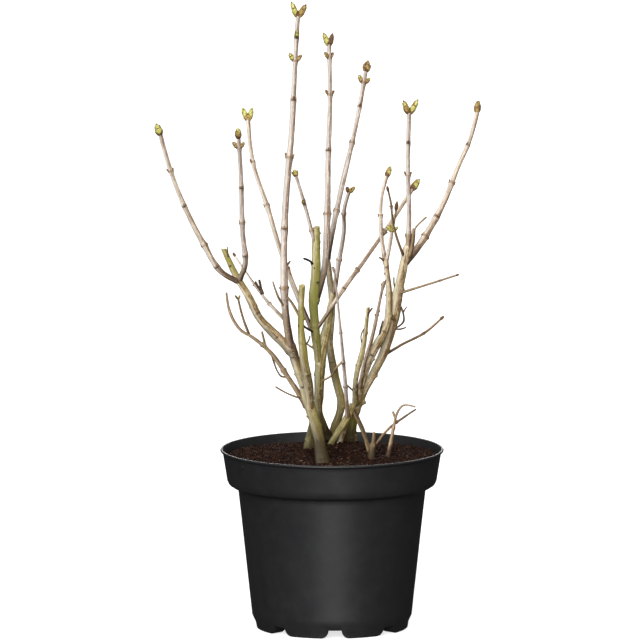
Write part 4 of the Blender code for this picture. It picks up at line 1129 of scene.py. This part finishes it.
def growShoot(whole, name, plan, number):
    look = shootLook
    seed = 30 + number
    course = smoothCourse(plan["course"], look["step"])
    total = courseLengths(course)[-1]
    bumps = [(look["collarAt"], None, course[0][1] * look["collarRise"], look["collarReach"], 1, 0.0)]
    marks = []
    for share, turn, budLength in plan.get("nodes", ()):
        place, heading, radius, at = pointAt(course, share)
        marks.append((at, radius))
        reach = radius * look["nodeReach"]
        bumps.append((at - radius * 0.5, None, radius * look["nodeSwell"], reach, 1, 0.0))
        for side, length in ((0, budLength), (180, budLength * look["sideSecond"])):
            out = Matrix.Rotation(radians(turn + side), 3, heading) @ across(heading)
            lean = radians(look["sideLean"])
            aim = heading * cos(lean) + out * sin(lean)
            bumps.append((at - 0.5, out, radius * look["scarRise"], 1.0, 3, 0.9))
            ripe = min(budLook["sideRipest"], (length - budLook["leastLength"]) / budLook["ripenLength"])
            budChance = Random(number * 50 + len(marks) * 2 + side)
            addBud(place + out * radius * 0.75, aim, length, length * look["sideAspect"], ripe, budChance,
                   -out - heading * 0.4, cells=6 if length > 4.5 else 4)
    foot = course[0][0]

    def paint(place, radial):                     # the foot of a shoot is darkest on its right
        # painted shade where the shoot leaves its parent, deepest on the right, which is turned from the key
        # lamp
        share = max(0.0, 1 - (place - foot).length / (total * look["footShadeShare"]))
        return 0.0, share * (0.55 + 0.75 * max(0.0, radial.x)) * shootFootShade.get(name, 1.0)

    bm = growLimb(course, look["sides"], look, seed, bumps, paint, narrowFoot=2.5)
    placeLayer = bm.verts.layers.float_vector["barkPlace"]
    tint = plan["tint"]
    below, above = look["nodeBand"]
    for face in bm.faces:
        spot = face.verts[0][placeLayer]
        along = spot.z - seed * seedShift.z
        ragged = 1.0 + 0.9 * noise.noise(spot * 0.9)
        kind = tint
        wander = noise.noise(Vector((spot.x, spot.y, spot.z * 0.1)))
        if along < total * look["baseShare"] * (1 + 0.5 * wander):
            kind = "base" if tint != "brown" else "brown"
        for at, radius in marks:
            if -radius * ragged * below < along - at < radius * ragged * above:
                kind = "node"
        face.material_index = youngSlots[kind]
    joinInto(whole, bm)
    addEndBuds(course, plan["ends"], 500 + number)
    for k, (ends, points) in enumerate(plan.get("twigs", ())):
        twig = smoothCourse(points, look["step"])
        if not ends:
            twig = brokenTip(twig)
        part = growLimb(twig, 10, look, 60 + number * 3 + k, narrowFoot=1.5)
        for face in part.faces:
            face.material_index = youngSlots[tint if ends else "brown"]
        joinInto(whole, part)
        addEndBuds(twig, ends, 600 + number * 3 + k)


young = blankLimbMesh()
for number, (name, plan) in enumerate(shoots.items()):
    growShoot(young, name, plan, number)
finishPiece(young, "youngShoots", youngMaterials, list(shoots))
scaleEdge = mottledMaterial("budScaleMargin", {   # the dry dark margin of each scale
    "colours": ["#3a2412", "#5e4022", "#835f36"], "patch": 1.5, "grain": 0.5, "roughness": 0.7, "bump": 0.2})
for kind, (colours, roughness) in budColours.items():
    scales = mottledMaterial(kind + "BudScale", {
        "colours": colours, "patch": 2.0, "grain": 0.5, "roughness": roughness, "bump": 0.15})
    finishPiece(budMeshes[kind], kind + "BudScales", [scales, scaleEdge])
print("young shoots and buds made")


# each: 0 brown, 1 black, 2 tan or 3 olive, and its course as (x, y, z, radius)
deadTwigs = {
    "nearRow": (2, [(-30.5, -44.5, 316, 1.4), (-34, -45, 324, 1.4), (-39, -45, 333, 1.3),
                    (-44, -44, 340, 1.0)]),
    "rowSpur": (0, [(-69.5, 11, 335, 1.7), (-71, 10, 341, 1.5), (-72.6, 9, 349, 1.3)]),
    "rowSpurLow": (0, [(-70.5, 10.5, 339, 1.3), (-74, 9.5, 343, 1.2), (-76.3, 9, 347.5, 1.1)]),
    "leftLoop": (0, [(-60, 28, 270, 1.0), (-58, 21, 264, 0.9), (-54.5, 13, 256.5, 0.9), (-51, 8, 252.5, 0.9),
                     (-45, 3, 252.5, 0.9)]),
    "leftStub": (3, [(-66, 35, 276, 1.6), (-68, 30, 285, 1.5), (-70, 27, 294, 1.3)]),
    "greenSpur": (1, [(-17, -4, 366, 1.1), (-22, -9, 371.5, 1.1), (-28, -15, 375, 1.0)]),
    "middleCross": (0, [(-29, -44, 311.5, 1.3), (-25, -25, 306, 1.2), (-18.5, 1.5, 298, 1.1)]),
    "middleHook": (0, [(-28, -43, 293, 1.0), (-25, -40, 293.5, 0.9), (-22, -38, 300, 0.7)]),
    "middlePeg": (2, [(-13, 10, 276, 1.0), (-21, 4, 283, 0.9), (-25, 2, 286, 0.8)]),
    "lowCross": (2, [(11, -12.5, 271, 1.2), (5, -7, 264, 1.1), (-1, 6, 253, 1.0), (-11, 16, 246, 0.9)]),
    "lowHook": (0, [(23, 33, 232.5, 1.1), (20, 30, 235.5, 0.9), (15.5, 28, 240, 0.8)]),
    "stubHook": (0, [(34, 14, 308, 1.0), (38, 10, 318, 0.9), (40, 8, 321, 0.9)]),
    "stubArc": (0, [(31, 15, 283, 0.7), (29, 12, 291, 0.6), (30, 11, 296, 0.6), (34, 14, 302, 0.5)]),
    "boughSpur": (0, [(47, 26, 286, 1.2), (49, 20, 300, 0.9), (51, 17, 307, 0.7)]),
    "rightPeg": (0, [(65, 38, 333, 1.0), (62, 35, 343, 0.9), (62, 34, 348, 0.9)]),
    "tangleLoop": (0, [(65, 37, 324, 1.1), (71, 30, 314, 1.0), (72, 30, 306, 1.0), (62, 36, 296, 1.0)]),
    "tangleFoot": (0, [(62, 37, 296, 1.0), (70, 30, 297, 0.9), (74, 27, 299, 0.7)]),
    "tangleTip": (0, [(71, 30, 313, 0.7), (73, 28, 317, 0.6), (75, 26, 320, 0.5)]),
    "soilPeg": (0, [(24, 50, 172, 1.2), (24, 50, 184, 1.1), (24, 50, 187, 1.0)]),
    "boughWisp": (0, [(-103, -44, 376, 0.8), (-104, -48, 387, 0.6), (-104, -50, 392, 0.5)]),
    "shortStub": (0, [(5, 4, 356, 1.2), (2, 7, 359, 1.1), (1, 6, 363, 0.9)]),
    "innerStub": (0, [(53, 43, 363, 1.3), (50, 42, 366, 1.1), (47.5, 41, 367.5, 0.9)]),
    "highStub": (0, [(76, 37, 384, 1.2), (74.6, 35, 389, 1.1), (73.8, 34, 391.5, 0.9)]),
    "tallNub": (0, [(-46.5, -33, 371, 1.2), (-43.5, -33.5, 373, 1.0), (-42, -34, 375, 0.8)]),
    "tipProng": (0, [(52, 8, 346, 0.8), (54, 7, 350, 0.6)]),
}
twigLook = {"sides": 8, "step": 1.0, "flute": 0.25, "ridge": 0.18, "ridgePitch": 1.2, "grain": 0.10,
            "nubLength": (1.0, 2.4), "nubShare": 0.4, "seed": 77, "twigSeeds": 120, "nubSeeds": 160}


def makeDeadTwigs():
    look = twigLook
    chance = Random(look["seed"])
    whole = blankLimbMesh()
    for number, (kind, points) in enumerate(deadTwigs.values()):
        course = smoothCourse(points, look["step"])
        part = growLimb(brokenTip(course), look["sides"], look, look["twigSeeds"] + number,
                        [(1.5, None, course[0][1] * 0.25, 2.0, 1, 0.0)])
        for face in part.faces:
            face.material_index = kind
        joinInto(whole, part)
    for number, (place, heading, out, radius) in enumerate(scarSpots):   # dead buds at the old leaf nodes
        if chance.random() > look["nubShare"]:
            continue
        length = chance.uniform(*look["nubLength"])
        foot = place + out * radius * 0.8
        aim = (out + heading * chance.uniform(0.3, 1.0)).normalized()
        points = [(*foot, 0.9), (*(foot + aim * length * 0.6), 0.85), (*(foot + aim * length), 0.5)]
        nub = growLimb(smoothCourse(points, 0.7), look["sides"], look, look["nubSeeds"] + number)
        joinInto(whole, nub)
    finishPiece(whole, "deadTwigs", [deadWood, blackWood, barkMaterials["dead"],
                                                   barkMaterials["olive"]])


makeDeadTwigs()
print("dead twigs made")


studio = {
    "floorSize": 120.0, "floorColour": "#e6e6e5", "floorGlow": 0.72,
    "lens": 1000.0, "sensor": 36.0, "frameWidth": 0.640, "aim": (-0.012, 0.0, 0.3106), "elevation": 8.7,
    "suns": {                        # strength, softness in degrees, and where it stands: azimuth, elevation
        "topSoft": (0.7, 60, 0, 78),
        "keySoft": (2.15, 40, -16, 28),
        "frontSoft": (1.9, 50, 3, 8),
        "backSoft": (1.2, 30, 180, 26),
    },
    "sky": ("#8c8c8c", 0.18),
}


def makeStudio():
    bm = bmesh.new()
    bmesh.ops.create_grid(bm, x_segments=1, y_segments=1, size=studio["floorSize"] / 2)
    floor = newObject("studioFloor", meshFrom(bm, "studioFloor"))
    paper, _, shader = newMaterial("paperSweep")       # matt paper lit from below, so shadows stay faint
    shader.inputs["Base Color"].default_value = linear(studio["floorColour"])
    shader.inputs["Roughness"].default_value = 0.95
    shader.inputs["Specular IOR Level"].default_value = 0.0
    shader.inputs["Emission Color"].default_value = (1.0, 1.0, 1.0, 1.0)
    shader.inputs["Emission Strength"].default_value = studio["floorGlow"]
    floor.data.materials.append(paper)
    floor.visible_glossy = False                       # the pot is lit as in a tent with dark sides
    floor.visible_diffuse = False
    for name, (strength, softness, azimuth, elevation) in studio["suns"].items():
        light = bpy.data.lights.new(name, "SUN")
        light.energy = strength
        light.angle = radians(softness)
        sun = newObject(name, light)
        stand = Vector((sin(radians(azimuth)) * cos(radians(elevation)),
                        -cos(radians(azimuth)) * cos(radians(elevation)), sin(radians(elevation))))
        sun.rotation_euler = stand.to_track_quat("Z", "Y").to_euler()
    world = bpy.data.worlds.new("studioSky")
    world.use_nodes = True
    background = world.node_tree.nodes["Background"]
    background.inputs["Color"].default_value = linear(studio["sky"][0])
    background.inputs["Strength"].default_value = studio["sky"][1]
    bpy.context.scene.world = world
    bpy.context.scene.view_settings.view_transform = "Standard"


def makeCamera():
    data = bpy.data.cameras.new("studioCamera")
    data.lens = studio["lens"]
    data.sensor_width = studio["sensor"]
    data.clip_end = 200.0
    camera = newObject("studioCamera", data)
    tilt = radians(studio["elevation"])
    distance = studio["frameWidth"] * studio["lens"] / studio["sensor"]
    stand = Vector((0, -cos(tilt), sin(tilt)))
    camera.location = Vector(studio["aim"]) + stand * distance
    camera.rotation_euler = stand.to_track_quat("Z", "Y").to_euler()
    bpy.context.scene.camera = camera


makeStudio()
makeCamera()
print("studio made")
